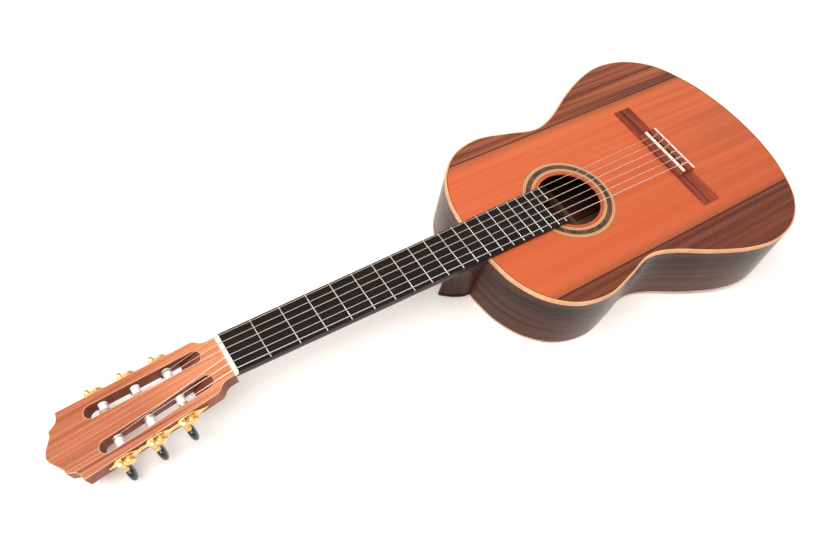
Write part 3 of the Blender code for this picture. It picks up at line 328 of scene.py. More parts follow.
def worked(tree, operation, *values):
    made = addNode(tree, "ShaderNodeMath", dict(enumerate(values)), operation=operation)
    return made.outputs[0]


def objectPlace(tree):
    return addNode(tree, "ShaderNodeTexCoord").outputs["Object"]


def partsOf(tree, place):
    parts = addNode(tree, "ShaderNodeSeparateXYZ", {0: place})
    return parts.outputs["X"], parts.outputs["Y"], parts.outputs["Z"]


def combined(tree, x, y, z):
    return addNode(tree, "ShaderNodeCombineXYZ", {"X": x, "Y": y, "Z": z}).outputs[0]


def lengthOf(tree, place):
    return addNode(tree, "ShaderNodeVectorMath", {0: place}, operation="LENGTH").outputs["Value"]


def cloudOf(tree, place, scale, detail):
    values = {"Vector": place, "Scale": scale, "Detail": detail}
    return addNode(tree, "ShaderNodeTexNoise", values).outputs["Fac"]


def spread(tree, value, low, high, toLow=0.0, toHigh=1.0):
    values = {"Value": value, "From Min": low, "From Max": high, "To Min": toLow, "To Max": toHigh}
    return addNode(tree, "ShaderNodeMapRange", values, interpolation_type="SMOOTHSTEP").outputs[0]


def newGroup(name, inputs, outputs):
    group = bpy.data.node_groups.new(name, "ShaderNodeTree")
    for socket, kind in inputs:
        group.interface.new_socket(socket, in_out="INPUT", socket_type=kind)
    for socket, kind in outputs:
        group.interface.new_socket(socket, in_out="OUTPUT", socket_type=kind)
    return group, group.nodes.new("NodeGroupInput"), group.nodes.new("NodeGroupOutput")


def makeGrainGroup():
    # long wood grain along x: fine lines, broad bands, dark streaks, pores and the bump they make
    decimal = "NodeSocketFloat"
    group, given, result = newGroup(
        "woodGrain",
        [("Place", "NodeSocketVector"), ("Gap", decimal), ("Length", decimal), ("Wander", decimal),
         ("Seed", decimal), ("Relief", decimal)],
        [("Lines", decimal), ("Bands", decimal), ("Streaks", decimal), ("Pores", decimal),
         ("Normal", "NodeSocketVector")])
    place = given.outputs["Place"]
    x, y, z = partsOf(group, place)
    drift = worked(group, "SUBTRACT", cloudOf(group, place, 3.2, 1.0), 0.5)
    sway = worked(group, "MULTIPLY", drift, given.outputs["Wander"])
    side = worked(group, "DIVIDE", worked(group, "ADD", y, sway), given.outputs["Gap"])
    deep = worked(group, "ADD", worked(group, "DIVIDE", z, given.outputs["Gap"]), given.outputs["Seed"])
    run = worked(group, "DIVIDE", x, given.outputs["Length"])
    grid = combined(group, run, side, deep)

    def layer(scale, detail, low, high):
        sized = addNode(group, "ShaderNodeVectorMath", {0: grid, 1: scale}, operation="MULTIPLY").outputs[0]
        cloud = addNode(group, "ShaderNodeTexNoise", {"Vector": sized, "Scale": 1.0, "Detail": detail,
                                                      "Roughness": 0.62})
        return spread(group, cloud.outputs["Fac"], low, high)

    lines = layer((1.0, 1.0, 1.0), 4.0, 0.32, 0.68)
    bands = layer((0.45, 0.11, 0.11), 2.0, 0.34, 0.66)
    streaks = layer((0.22, 0.24, 0.24), 3.0, 0.55, 0.66)
    poreGrid = (290.0, 4200.0, 4200.0)              # pores are long along the grain
    fine = addNode(group, "ShaderNodeVectorMath", {0: place, 1: poreGrid}, operation="MULTIPLY").outputs[0]
    pores = spread(group, cloudOf(group, fine, 1.0, 1.0), 0.60, 0.70)
    height = worked(group, "SUBTRACT", worked(group, "MULTIPLY", lines, 0.4), pores)
    bump = addNode(group, "ShaderNodeBump",
                   {"Height": height, "Strength": 0.5, "Distance": given.outputs["Relief"]})
    for socket, value in (("Lines", lines), ("Bands", bands), ("Streaks", streaks), ("Pores", pores),
                          ("Normal", bump.outputs["Normal"])):
        group.links.new(value, result.inputs[socket])
    return group


grainGroup = makeGrainGroup()


def newMaterial(name):
    made = bpy.data.materials.new(name)
    made.use_nodes = True
    return made, made.node_tree, made.node_tree.nodes["Principled BSDF"]


def connect(tree, shader, links, values):
    for key, socket in links.items():
        tree.links.new(socket, shader.inputs[key])
    for key, value in values.items():
        shader.inputs[key].default_value = value


def placeOf(tree, order="xyz", mirror=False):
    # object coordinates, with the grain's run first and the way across it second
    sockets = dict(zip("xyz", partsOf(tree, objectPlace(tree))))
    if mirror:
        sockets["y"] = worked(tree, "ABSOLUTE", sockets["y"])
    slow = worked(tree, "MULTIPLY", sockets[order[2]], 0.03)
    return combined(tree, sockets[order[0]], sockets[order[1]], slow)


def woodFinish(name, look):
    made, tree, shader = newMaterial(name)
    place = placeOf(tree, look.get("order", "xyz"), look.get("mirror", False))
    grain = addNode(tree, "ShaderNodeGroup", node_tree=grainGroup)
    tree.links.new(place, grain.inputs["Place"])
    for key, value in (("Gap", look["gap"]), ("Length", look["length"]), ("Wander", look["wander"]),
                       ("Seed", look["seed"]), ("Relief", look["relief"])):
        grain.inputs[key].default_value = value
    out = grain.outputs
    tone = mixed(tree, out["Bands"], look["light"], look["middle"])
    tone = mixed(tree, worked(tree, "MULTIPLY", out["Lines"], look["lineShare"]), tone, look["line"])
    tone = mixed(tree, worked(tree, "MULTIPLY", out["Streaks"], look["streakShare"]), tone, look["streak"])
    tone = mixed(tree, worked(tree, "MULTIPLY", out["Pores"], look["poreShare"]), tone, look["line"])
    if "glow" in look:                              # painted sheen: lighter towards the nut
        lengthways, _, _ = partsOf(tree, objectPlace(tree))
        pale = spread(tree, lengthways, 0.010, 0.110, 0.32, 0.0)
        tone = mixed(tree, pale, tone, look["glow"])
    if "darkFrom" in look:                          # darker towards the soundboard
        _, _, height = partsOf(tree, objectPlace(tree))
        dark = spread(tree, height, look["darkFrom"], look["darkFrom"] + 0.022)
        tone = mixed(tree, worked(tree, "MULTIPLY", dark, 0.5), tone, look["streak"])
    rough = spread(tree, out["Lines"], 0.0, 1.0, look["roughness"] - 0.04, look["roughness"] + 0.05)
    connect(tree, shader, {"Base Color": tone, "Roughness": rough, "Normal": out["Normal"]},
            {"Specular IOR Level": look.get("specular", 0.5), "Coat Weight": look.get("coat", 0.0),
             "Coat Roughness": 0.06})
    return made


cedarLook = {
    # some of these colours are painted light and shade: darker towards the tail and the bass side, a lighter
    # treble wing
    "light": paint(214, 108, 66), "middle": paint(205, 98, 58), "line": paint(150, 60, 34),
    "edge": paint(128, 78, 47), "wing": paint(132, 67, 44), "wingDark": paint(100, 52, 38),
    "inlay": paint(44, 20, 19), "shade": paint(158, 84, 50), "wingTrebleLit": paint(186, 102, 66),
    "bassShade": paint(188, 80, 42), "ring": paint(112, 50, 34), "seam": 0.1145, "gap": 0.0012,
    "length": 0.30, "holeX": 0.4774, "ringRadius": 0.0450,
}


def makeCedar(look):
    # the middle of the soundboard, and the darker wings glued on outside its seams
    made, tree, shader = newMaterial("cedarSoundboard")
    place = placeOf(tree)
    grain = addNode(tree, "ShaderNodeGroup", node_tree=grainGroup)
    tree.links.new(place, grain.inputs["Place"])
    for key, value in (("Gap", look["gap"]), ("Length", look["length"]), ("Wander", 0.004), ("Seed", 3.0),
                       ("Relief", 0.00004)):
        grain.inputs[key].default_value = value
    out = grain.outputs
    x, y, _ = partsOf(tree, objectPlace(tree))
    away = worked(tree, "ABSOLUTE", y)
    tone = mixed(tree, out["Bands"], look["light"], look["middle"])
    tone = mixed(tree, worked(tree, "MULTIPLY", out["Lines"], 0.20), tone, look["line"])
    # painted shade: darker towards the tail, laid on along the grain's broad bands
    tail = worked(tree, "MULTIPLY", spread(tree, x, 0.60, 0.80), out["Bands"])
    tone = mixed(tree, worked(tree, "MULTIPLY", tail, 0.42), tone, look["shade"])
    # painted shade: the middle of the soundboard darker towards the bass side
    tone = mixed(tree, spread(tree, y, -0.075, 0.01, 0.42, 0.0), tone, look["bassShade"])
    near = spread(tree, away, look["seam"] - 0.016, look["seam"] - 0.001)
    tone = mixed(tree, worked(tree, "MULTIPLY", near, 0.55), tone, look["edge"])
    # painted light: the treble wing lighter than the bass wing
    wing = mixed(tree, spread(tree, y, -0.05, 0.05), look["wing"], look["wingTrebleLit"])
    wing = mixed(tree, out["Bands"], wing, look["wingDark"])
    wing = mixed(tree, worked(tree, "MULTIPLY", out["Lines"], 0.35), wing, look["inlay"])
    outside = spread(tree, away, look["seam"] - 0.0006, look["seam"] + 0.0006)
    tone = mixed(tree, outside, tone, wing)
    # dark lines that run beside the seam, each (distance from it, half width, strength)
    sway = worked(tree, "MULTIPLY", worked(tree, "SUBTRACT", cloudOf(tree, place, 4.0, 1.0), 0.5), 0.006)
    for distance, half, strength, share in ((0.0, 0.0010, 0.85, 0.1), (0.0085, 0.0006, 0.6, 0.5),
                                            (0.0110, 0.0004, 0.5, 0.6), (0.0210, 0.0005, 0.6, 1.0),
                                            (0.0330, 0.0004, 0.5, 1.4), (0.0385, 0.0003, 0.45, 1.5),
                                            (0.0460, 0.0005, 0.45, 1.6)):
        offset = worked(tree, "SUBTRACT", away, look["seam"] + distance)
        offset = worked(tree, "ABSOLUTE", worked(tree, "ADD", offset, worked(tree, "MULTIPLY", sway, share)))
        band = spread(tree, offset, half * 0.4, half * 1.8, strength, 0.0)
        tone = mixed(tree, band, tone, look["inlay"])
    fromHole = lengthOf(tree, combined(tree, worked(tree, "SUBTRACT", x, look["holeX"]), y, 0.0))
    ring = worked(tree, "ABSOLUTE", worked(tree, "SUBTRACT", fromHole, look["ringRadius"]))
    tone = mixed(tree, spread(tree, ring, 0.0002, 0.0006, 0.75, 0.0), tone, look["ring"])
    rough = spread(tree, out["Lines"], 0.0, 1.0, 0.30, 0.40)
    connect(tree, shader, {"Base Color": tone, "Roughness": rough, "Normal": out["Normal"]},
            {"Specular IOR Level": 0.22, "Coat Weight": 0.03, "Coat Roughness": 0.25})
    return made


cedar = makeCedar(cedarLook)

rosewood = woodFinish("rosewoodGloss", {
    "light": paint(126, 74, 52), "middle": paint(94, 54, 38), "line": paint(44, 24, 18),
    "streak": paint(32, 21, 18), "lineShare": 0.6, "streakShare": 0.85, "poreShare": 0.2, "gap": 0.0026,
    "length": 0.40, "wander": 0.010, "seed": 8.0, "relief": 0.00002, "roughness": 0.24, "coat": 0.05,
    "darkFrom": -0.062, "specular": 0.2, "order": "xzy"})
rosewoodBack = woodFinish("rosewoodBack", {
    "light": paint(98, 56, 43), "middle": paint(64, 36, 30), "line": paint(30, 16, 14),
    "streak": paint(20, 11, 11), "lineShare": 0.75, "streakShare": 0.85, "poreShare": 0.25, "gap": 0.0034,
    "length": 0.20, "wander": 0.03, "seed": 11.0, "relief": 0.00002, "roughness": 0.24, "coat": 0.15,
    "specular": 0.4, "mirror": True})
bridgeWood = woodFinish("bridgeRosewood", {
    "light": paint(176, 80, 54), "middle": paint(132, 56, 40), "line": paint(64, 28, 26),
    "streak": paint(44, 20, 20), "lineShare": 0.6, "streakShare": 0.7, "poreShare": 0.3, "gap": 0.0016,
    "length": 0.07, "wander": 0.006, "seed": 2.0, "relief": 0.00004, "roughness": 0.36, "specular": 0.16,
    "order": "yxz"})
headWood = woodFinish("headVeneer", {
    "light": paint(222, 140, 99), "middle": paint(196, 110, 74), "line": paint(104, 50, 34),
    "streak": paint(84, 42, 32), "lineShare": 0.72, "streakShare": 0.7, "poreShare": 0.3, "gap": 0.0011,
    "length": 0.24, "wander": 0.004, "seed": 5.0, "relief": 0.00003, "roughness": 0.34, "specular": 0.2,
    # painted sheen towards the nut
    "glow": paint(250, 166, 118)})
mahogany = woodFinish("mahogany", {
    "light": paint(88, 44, 34), "middle": paint(70, 33, 26), "line": paint(38, 18, 15),
    "streak": paint(44, 22, 20), "lineShare": 0.4, "streakShare": 0.3, "poreShare": 0.5, "gap": 0.0020,
    "length": 0.05, "wander": 0.006, "seed": 1.0, "relief": 0.00004, "roughness": 0.38, "specular": 0.25})
slotWood = woodFinish("headCore", {
    "light": paint(168, 90, 66), "middle": paint(146, 74, 55), "line": paint(84, 38, 30),
    "streak": paint(76, 34, 28), "lineShare": 0.4, "streakShare": 0.3, "poreShare": 0.4, "gap": 0.0018,
    "length": 0.05, "wander": 0.004, "seed": 6.0, "relief": 0.00004, "roughness": 0.42, "specular": 0.25})
maple = woodFinish("mapleBinding", {
    "light": paint(236, 182, 134), "middle": paint(222, 162, 114), "line": paint(196, 134, 88),
    "streak": paint(214, 160, 108), "lineShare": 0.5, "streakShare": 0.4, "poreShare": 0.1, "gap": 0.0010,
    "length": 0.03, "wander": 0.003, "seed": 4.0, "relief": 0.00002, "roughness": 0.36, "specular": 0.3})
backBinding = woodFinish("backBinding", {
    "light": paint(240, 192, 170), "middle": paint(226, 174, 150), "line": paint(190, 136, 114),
    "streak": paint(130, 84, 66), "lineShare": 0.5, "streakShare": 0.4, "poreShare": 0.1, "gap": 0.0010,
    "length": 0.03, "wander": 0.003, "seed": 9.0, "relief": 0.00002, "roughness": 0.36})
veneer = woodFinish("paleVeneer", {
    "light": paint(238, 196, 148), "middle": paint(222, 176, 126), "line": paint(196, 146, 100),
    "streak": paint(206, 158, 112), "lineShare": 0.4, "streakShare": 0.3, "poreShare": 0.1, "gap": 0.0008,
    "length": 0.03, "wander": 0.002, "seed": 7.0, "relief": 0.00001, "roughness": 0.45})
headEdge = woodFinish("headEdgeLine", {
    "light": paint(232, 184, 146), "middle": paint(214, 160, 122), "line": paint(180, 124, 90),
    "streak": paint(190, 132, 98), "lineShare": 0.4, "streakShare": 0.3, "poreShare": 0.1, "gap": 0.0008,
    "length": 0.03, "wander": 0.002, "seed": 15.0, "relief": 0.00001, "roughness": 0.4, "specular": 0.25})
darkLine = woodFinish("darkPurfling", {
    "light": paint(96, 54, 38), "middle": paint(74, 40, 30), "line": paint(50, 26, 20),
    "streak": paint(56, 30, 24), "lineShare": 0.4, "streakShare": 0.4, "poreShare": 0.1, "gap": 0.0006,
    "length": 0.02, "wander": 0.002, "seed": 13.0, "relief": 0.00001, "roughness": 0.4})
ebony = woodFinish("ebony", {
    "light": paint(33, 26, 24), "middle": paint(23, 18, 17), "line": paint(12, 10, 10),
    "streak": paint(50, 40, 36), "lineShare": 0.6, "streakShare": 0.35, "poreShare": 0.5, "gap": 0.0012,
    "length": 0.06, "wander": 0.003, "seed": 12.0, "relief": 0.00005, "roughness": 0.38, "specular": 0.18})
spruce = woodFinish("rawSpruce", {
    "light": paint(132, 98, 66), "middle": paint(116, 84, 55), "line": paint(88, 60, 38),
    "streak": paint(96, 68, 44), "lineShare": 0.5, "streakShare": 0.2, "poreShare": 0.2, "gap": 0.0013,
    "length": 0.20, "wander": 0.004, "seed": 10.0, "relief": 0.00005, "roughness": 0.7})


def makeRosette(look):
    # rings by distance from the hole's middle; the object's origin is that middle
    made, tree, shader = newMaterial("rosetteMosaic")
    x, y, _ = partsOf(tree, objectPlace(tree))
    radius = lengthOf(tree, combined(tree, x, y, 0.0))
    turn = worked(tree, "ARCTAN2", y, x)
    cell = worked(tree, "FLOOR", worked(tree, "MULTIPLY", turn, look["tiles"] / (2 * math.pi)))
    row = worked(tree, "FLOOR", worked(tree, "DIVIDE", radius, look["tileRow"]))
    spot = combined(tree, cell, row, 1.0)
    dice = addNode(tree, "ShaderNodeTexWhiteNoise", {"Vector": spot}, noise_dimensions="3D").outputs["Value"]
    block = worked(tree, "FLOOR", worked(tree, "MULTIPLY", turn, look["blocks"] / (2 * math.pi)))
    blockDice = addNode(tree, "ShaderNodeTexWhiteNoise", {"W": block}, noise_dimensions="1D")
    tone = mixed(tree, spread(tree, blockDice.outputs["Value"], 0.2, 0.8), look["tileDark"], look["tileRed"])
    tone = mixed(tree, worked(tree, "MULTIPLY", dice, 0.45), tone, look["tileLight"])
    for inner, outer, colour in look["rings"]:
        inside = worked(tree, "MULTIPLY", worked(tree, "GREATER_THAN", radius, inner),
                        worked(tree, "LESS_THAN", radius, outer))
        tone = mixed(tree, inside, tone, look[colour])
    rough = spread(tree, dice, 0.0, 1.0, 0.30, 0.38)
    connect(tree, shader, {"Base Color": tone, "Roughness": rough},
            {"Specular IOR Level": 0.4, "Coat Weight": 0.1, "Coat Roughness": 0.2})
    return made


rosetteMosaic = makeRosette({
    "tan": paint(204, 152, 106), "brown": paint(128, 78, 52), "dark": paint(58, 36, 28),
    "tileDark": paint(42, 30, 24), "tileRed": paint(92, 58, 45), "tileLight": paint(124, 86, 66),
    "tiles": 180, "tileRow": 0.0014, "blocks": 42,
    "rings": ((0.0400, 0.0471, "dark"), (0.0471, 0.0489, "tan"), (0.0489, 0.0493, "brown"),
              (0.0493, 0.0513, "tan"), (0.0513, 0.0518, "dark"), (0.0576, 0.0581, "dark"),
              (0.0581, 0.0600, "tan"), (0.0600, 0.0604, "brown"), (0.0604, 0.0625, "tan"),
              (0.0625, 0.0700, "dark")),
})


def metalFinish(name, light, dark, roughness=0.26, relief=0.00001):
    made, tree, shader = newMaterial(name)
    place = objectPlace(tree)
    cloud = cloudOf(tree, place, 420.0, 3.0)
    smear = cloudOf(tree, place, 60.0, 2.0)
    tone = mixed(tree, spread(tree, smear, 0.3, 0.7), light, dark)
    rough = spread(tree, cloud, 0.3, 0.7, roughness - 0.05, roughness + 0.07)
    bump = addNode(tree, "ShaderNodeBump", {"Height": cloud, "Strength": 0.3, "Distance": relief})
    connect(tree, shader, {"Base Color": tone, "Roughness": rough, "Normal": bump.outputs["Normal"]},
            {"Metallic": 1.0})
    return made


gold = metalFinish("polishedGold", paint(252, 220, 158), paint(240, 198, 126))
fretSilver = metalFinish("fretSilver", paint(226, 220, 212), paint(204, 196, 186))


def smoothFinish(name, light, dark, roughness, values, relief=0.00001):
    made, tree, shader = newMaterial(name)
    cloud = cloudOf(tree, objectPlace(tree), 260.0, 3.0)
    tone = mixed(tree, spread(tree, cloud, 0.3, 0.7), light, dark)
    rough = spread(tree, cloud, 0.3, 0.7, roughness - 0.03, roughness + 0.05)
    bump = addNode(tree, "ShaderNodeBump", {"Height": cloud, "Strength": 0.3, "Distance": relief})
    connect(tree, shader, {"Base Color": tone, "Roughness": rough, "Normal": bump.outputs["Normal"]}, values)
    return made


bone = smoothFinish("bone", paint(252, 244, 230), paint(240, 228, 208), 0.35, {"Specular IOR Level": 0.4})
whitePlastic = smoothFinish("rollerPlastic", paint(248, 246, 243), paint(238, 235, 231), 0.30, {"IOR": 1.48})
buttonBlack = smoothFinish("buttonBlack", paint(20, 20, 22), paint(28, 28, 31), 0.14, {"Coat Weight": 0.5})
nylon = smoothFinish("clearNylon", paint(240, 222, 200), paint(230, 210, 186), 0.22,
                     {"Transmission Weight": 0.5, "IOR": 1.5})


def makeWoundSilver(turnGap):
    made, tree, shader = newMaterial("woundSilver")
    x, _, _ = partsOf(tree, objectPlace(tree))
    wave = worked(tree, "SINE", worked(tree, "MULTIPLY", x, 2 * math.pi / turnGap))
    # painted shade: darker in the grooves between the turns, lighter on their crests
    tone = mixed(tree, spread(tree, wave, -1.0, 1.0), paint(218, 210, 200), paint(244, 238, 228))
    rough = spread(tree, wave, -1.0, 1.0, 0.42, 0.34)
    bump = addNode(tree, "ShaderNodeBump", {"Height": wave, "Strength": 0.25, "Distance": 0.00002})
    connect(tree, shader, {"Base Color": tone, "Roughness": rough, "Normal": bump.outputs["Normal"]},
            {"Metallic": 1.0})
    return made


woundSilver = makeWoundSilver(0.00022)
print("materials made")

# body

bodyPlan = {
    "points": (             # (from the neck end, half width)
        (0.000, 0.000), (0.001, 0.036), (0.008, 0.071), (0.027, 0.106), (0.060, 0.132), (0.103, 0.1405),
        (0.148, 0.1310), (0.188, 0.1205), (0.224, 0.1290), (0.275, 0.1560), (0.325, 0.1765), (0.370, 0.1835),
        (0.415, 0.1735), (0.453, 0.1440), (0.478, 0.0960), (0.490, 0.0480), (0.4935, 0.000)),
    "steps": 12,            # between two of them
    "rim": 0.0023,          # thickness of the sides and bindings
    "bindingHeight": 0.0060,
    "topThickness": 0.0025,
    "backThickness": 0.0028,
    "purfling": 0.0008,
    "rounding": 0.0011,     # of both bindings' outer edges
    "holeRadius": 0.0428,
    "rosetteInner": 0.0465,
    "stripHalf": 0.0075,    # half the gap that the centre strip fills in the back
}
bodyStart = localBox("binding_top", guitarFrame)[0].x
holeBox = localBox("rosette", guitarFrame)
holeX = (holeBox[0].x + holeBox[1].x) / 2
rosetteOuter = (holeBox[1].x - holeBox[0].x) / 2
backPlan = {
    "depth": 0.102, "taper": 0.008, "radius": 5.5, "crown": 0.560, "rest": 0.403, "restLength": 0.080,
}


def bodyLoop(plan):
    # the whole outline, anticlockwise from the neck end round the bass side
    half = list(plan["points"])
    whole = [(x, -y) for x, y in half] + half[-2:0:-1]
    return [(bodyStart + x, y) for x, y in smoothLoop(whole, plan["steps"])]


def backLevel(x, y):
    plan = backPlan

    def lengthways(place):
        offset = place - plan["crown"]
        return offset**2 / (2 * plan["radius"]) - plan["taper"] * offset
    start = plan["rest"] - plan["restLength"] / 2
    end = start + plan["restLength"]
    if start < x < end:
        share = (x - start) / plan["restLength"]
        level = lengthways(start) * (1 - share) + lengthways(end) * share
    else:
        level = lengthways(x)
    return -plan["depth"] + level + y**2 / (2 * plan["radius"])


def band(loop, section):
    # a closed wall round the loop; the section is (distance inside it, height or function of x and y)
    rows = [inset(loop, gap) for gap, _ in section]
    rings = []
    for k, (x, y) in enumerate(loop):
        ring = []
        for row, (_, level) in zip(rows, section):
            ring.append((*row[k], level(x, y) if callable(level) else level))
        rings.append(ring)
    return skin(rings, closed=True)


def clipAcross(loop, limit, keepAbove):
    kept = []
    for (x0, y0), (x1, y1) in zip(loop, loop[1:] + loop[:1]):
        here = (y0 >= limit) == keepAbove
        there = (y1 >= limit) == keepAbove
        if here:
            kept.append((x0, y0))
        if here != there:
            kept.append((x0 + (x1 - x0) * (limit - y0) / (y1 - y0), limit))
    return kept


outline = bodyLoop(bodyPlan)
rim = bodyPlan["rim"]
bindingFoot = -bodyPlan["bindingHeight"]


def aboveBack(extra):
    return lambda x, y: backLevel(x, y) + extra


def makeBody(plan):
    rounding = plan["rounding"]
    arc = [math.pi / 2 * k / 4 for k in range(5)]
    upper = [(rounding * (1 - math.cos(turn)), -rounding * (1 - math.sin(turn))) for turn in arc]
    addPiece("topBinding", band(outline, [(0.0, bindingFoot)] + upper + [(rim, 0.0), (rim, bindingFoot)]),
             maple, guitarFrame, replaces=["binding_top"], sharpAngle=50)
    line = plan["purfling"]
    addPiece("topPurfling", band(outline, [(rim - 0.0001, -0.0008), (rim - 0.0001, 0.00004),
                                           (rim + line, 0.00004), (rim + line, -0.0008)]),
             darkLine, guitarFrame)
    proud, deep = -0.00004, 0.0010
    lineFoot, lineTop = bindingFoot - 0.0006, bindingFoot - 0.00002
    section = [(proud, lineFoot), (proud, lineTop), (deep, lineTop), (deep, lineFoot)]
    addPiece("sidePurfling", band(outline, section),
             darkLine, guitarFrame)
    wallFoot = plan["bindingHeight"] - 0.0025
    addPiece("sides", band(outline, [(0.0, aboveBack(wallFoot)), (0.0, bindingFoot - glueGap),
                                     (rim, bindingFoot - glueGap), (rim, aboveBack(wallFoot))]),
             rosewood, guitarFrame, replaces=["side_treble", "side_bass"])
    lower = [(rounding * (1 - math.cos(turn)), aboveBack(rounding * (1 - math.sin(turn)))) for turn in arc]
    addPiece("lowerBinding", band(outline, [(0.0, aboveBack(wallFoot - glueGap))] + lower
                                  + [(rim, aboveBack(0.0)), (rim, aboveBack(wallFoot - glueGap))]),
             backBinding, guitarFrame, replaces=["binding_back"], sharpAngle=50)


def makeSoundboard(plan):
    edge = inset(outline, rim + glueGap / 2)
    seam = cedarLook["seam"]
    low = -plan["topThickness"]
    centre = clipAcross(clipAcross(edge, seam, False), -seam, True)
    hole = circle(plan["holeRadius"], 128, (holeX, 0.0))
    addPiece("soundboard", roundedPlate([centre, hole], low, 0.0, 0.00012), cedar, guitarFrame,
             replaces=["top_centre"], soft=True)
    for side, sign in (("Treble", 1), ("Bass", -1)):
        wing = clipAcross(edge, sign * seam, sign > 0)
        addPiece(f"soundboardWing{side}", roundedPlate([wing], low, 0.0, 0.00012), cedar, guitarFrame,
                 replaces=[f"top_wing_{side.lower()}"], soft=True)
    holeFrame = guitarFrame @ Matrix.Translation((holeX, 0.0, 0.0))
    rings = [circle(rosetteOuter, 160), circle(plan["rosetteInner"], 160)]
    addPiece("rosetteInlay", roundedPlate(rings, -0.0012, 0.00005, 0.00004), rosetteMosaic, holeFrame,
             replaces=["rosette"], soft=True)


def makeBackPlate(plan):
    edge = inset(outline, rim + glueGap / 2)
    half = sorted(point for point in edge if point[1] > plan["stripHalf"])
    columns = 14
    rings = []
    for x, y in half:
        spots = [y * (2 * k / columns - 1) for k in range(columns + 1)]
        outer = [(x, spot, backLevel(x, spot)) for spot in spots]
        inner = [(x, spot, backLevel(x, spot) + plan["backThickness"]) for spot in reversed(spots)]
        rings.append(outer + inner)
    addPiece("backPlates", skin(rings), rosewoodBack, guitarFrame,
             replaces=["back_treble", "back_bass"])
    for name, width, proud, finish, slot in (("backStripe", 0.0060, 0.00006, veneer, "maple"),
                                             ("backStripeMiddle", 0.0036, 0.00010, bridgeWood, "rosewood")):
        rings = []
        for x in np.linspace(half[0][0], half[-1][0], 60):
            level = backLevel(x, 0.0)
            rings.append([(x, -width / 2, level - proud), (x, width / 2, level - proud),
                          (x, width / 2, level + 0.002), (x, -width / 2, level + 0.002)])
        addPiece(name, skin(rings), finish, guitarFrame,
                 replaces=["back_strip"] if name == "backStripe" else ())


makeBody(bodyPlan)
makeSoundboard(bodyPlan)
makeBackPlate(bodyPlan)
for inside in ("lining_top_treble", "lining_top_bass", "lining_back_treble", "lining_back_bass",
               "top_bracing", "back_bracing"):
    cadNodes[inside].data.materials.clear()
    cadNodes[inside].data.materials.append(spruce)
cadNodes["tail_block"].data.materials.clear()
cadNodes["tail_block"].data.materials.append(mahogany)
print("body made")

# neck and heel

neckPlan = {
    "thicknessNut": 0.0160, "thicknessBody": 0.0185, "widthNut": 0.0500, "widthBody": 0.0584,
    "heel": (               # (depth, reach from the body, half width at the body)
        (0.0020, 0.094, 0.0282), (0.0120, 0.086, 0.0278), (0.0200, 0.066, 0.0250), (0.0320, 0.048, 0.0222),
        (0.0500, 0.0395, 0.0204), (0.0700, 0.0370, 0.0194)),
    "tipReach": 0.0365, "tipHalf": 0.0185, "capLift": 0.0022, "capThickness": 0.0025, "voxel": 0.0012,
}


def boardHalf(x):
    plan = neckPlan
    return (plan["widthNut"] + (plan["widthBody"] - plan["widthNut"]) * x / bodyStart) / 2


def heelRing(depth, reach, half, end):
    shares = [k / 14 for k in range(15)]
    bass = [(end - reach * share, -half * (1 - share**1.8)) for share in shares]
    return [(x, y, -depth) for x, y in bass + [(x, -y) for x, y in bass[:-1]][::-1]]


def makeNeck(plan):
    slant = math.tan(up.angle(headUp))
    faceZ = (guitarFrame.inverted() @ headStart).z
    sunk = 0.0020           # hidden under the fingerboard, so that the neck's edge stays crisp
    rings = []
    for x in [None] + list(np.linspace(0.012, bodyStart + 0.001, 30)):
        place = 0.0 if x is None else x
        half = boardHalf(place) - 0.0002
        deep = plan["thicknessNut"] + (plan["thicknessBody"] - plan["thicknessNut"]) * place / bodyStart
        ring = []
        for k in range(29):
            turn = math.pi * k / 28
            y = half * math.copysign(abs(math.cos(turn)) ** 0.8, math.cos(turn))
            z = -deep * math.sin(turn) ** 0.9
            ring.append((y, z))
        ring = [(half - 0.0002, sunk)] + ring + [(-half + 0.0002, sunk)]
        if x is None:
            rings.append([(-nutBack + slant * (faceZ - min(z, 0.0)) + glueGap, y, min(z, 0.0001))
                          for y, z in ring])
        else:
            rings.append([(x, y, z) for y, z in ring])
    shaft = skin(rings)
    end = bodyStart + 0.0012
    capTop = backLevel(bodyStart, 0.0) + plan["capLift"] + plan["capThickness"]
    sections = [heelRing(depth, reach + 0.0012, half, end) for depth, reach, half in plan["heel"]]
    sections.append(heelRing(-capTop, plan["tipReach"] + 0.0012, plan["tipHalf"], end))
    blank = applied(joined([shaft, skin(sections)]),
                    [("REMESH", {"mode": "VOXEL", "voxel_size": plan["voxel"], "use_smooth_shade": True}),
                     ("SMOOTH", {"factor": 0.5, "iterations": 8})])
    blank.materials.clear()
    addObject("neckAndHeel", blank, mahogany, guitarFrame, replaces=["neck"], sharpAngle=60)
    cap = [(x, y) for x, y, _ in heelRing(0.0, plan["tipReach"], plan["tipHalf"], bodyStart - glueGap)]
    addPiece("heelCap", roundedPlate([cap], capTop - plan["capThickness"], capTop + 0.0003, 0.0006),
             rosewoodBack, guitarFrame, replaces=["heel_cap"], soft=True)


makeNeck(neckPlan)
print("neck made")

# fingerboard, frets and nut

boardPlan = {
    "thickness": 0.0065, "frets": 20, "overhang": 0.0035, "scale": 0.650, "holeRadius": 0.0424,
    "scoopTreble": 0.0076, "scoopBass": -0.0230, "fretWidth": 0.0015, "fretHeight": 0.0010,
}
stringPlan = {
    "diameters": (0.00071, 0.00082, 0.00102, 0.00074, 0.00089, 0.00109),
    "nutSpan": 0.0430, "saddleSpan": 0.0580,
    "nutAction": 0.0009, "sides": 12,
}


def fretX(number):
    return boardPlan["scale"] * (1 - 2 ** (-number / 12))


def stringY(index, span):
    return span / 2 - span * index / (len(strings) - 1)


def nutStringZ(radius):
    return boardPlan["thickness"] + boardPlan["fretHeight"] + stringPlan["nutAction"] + radius


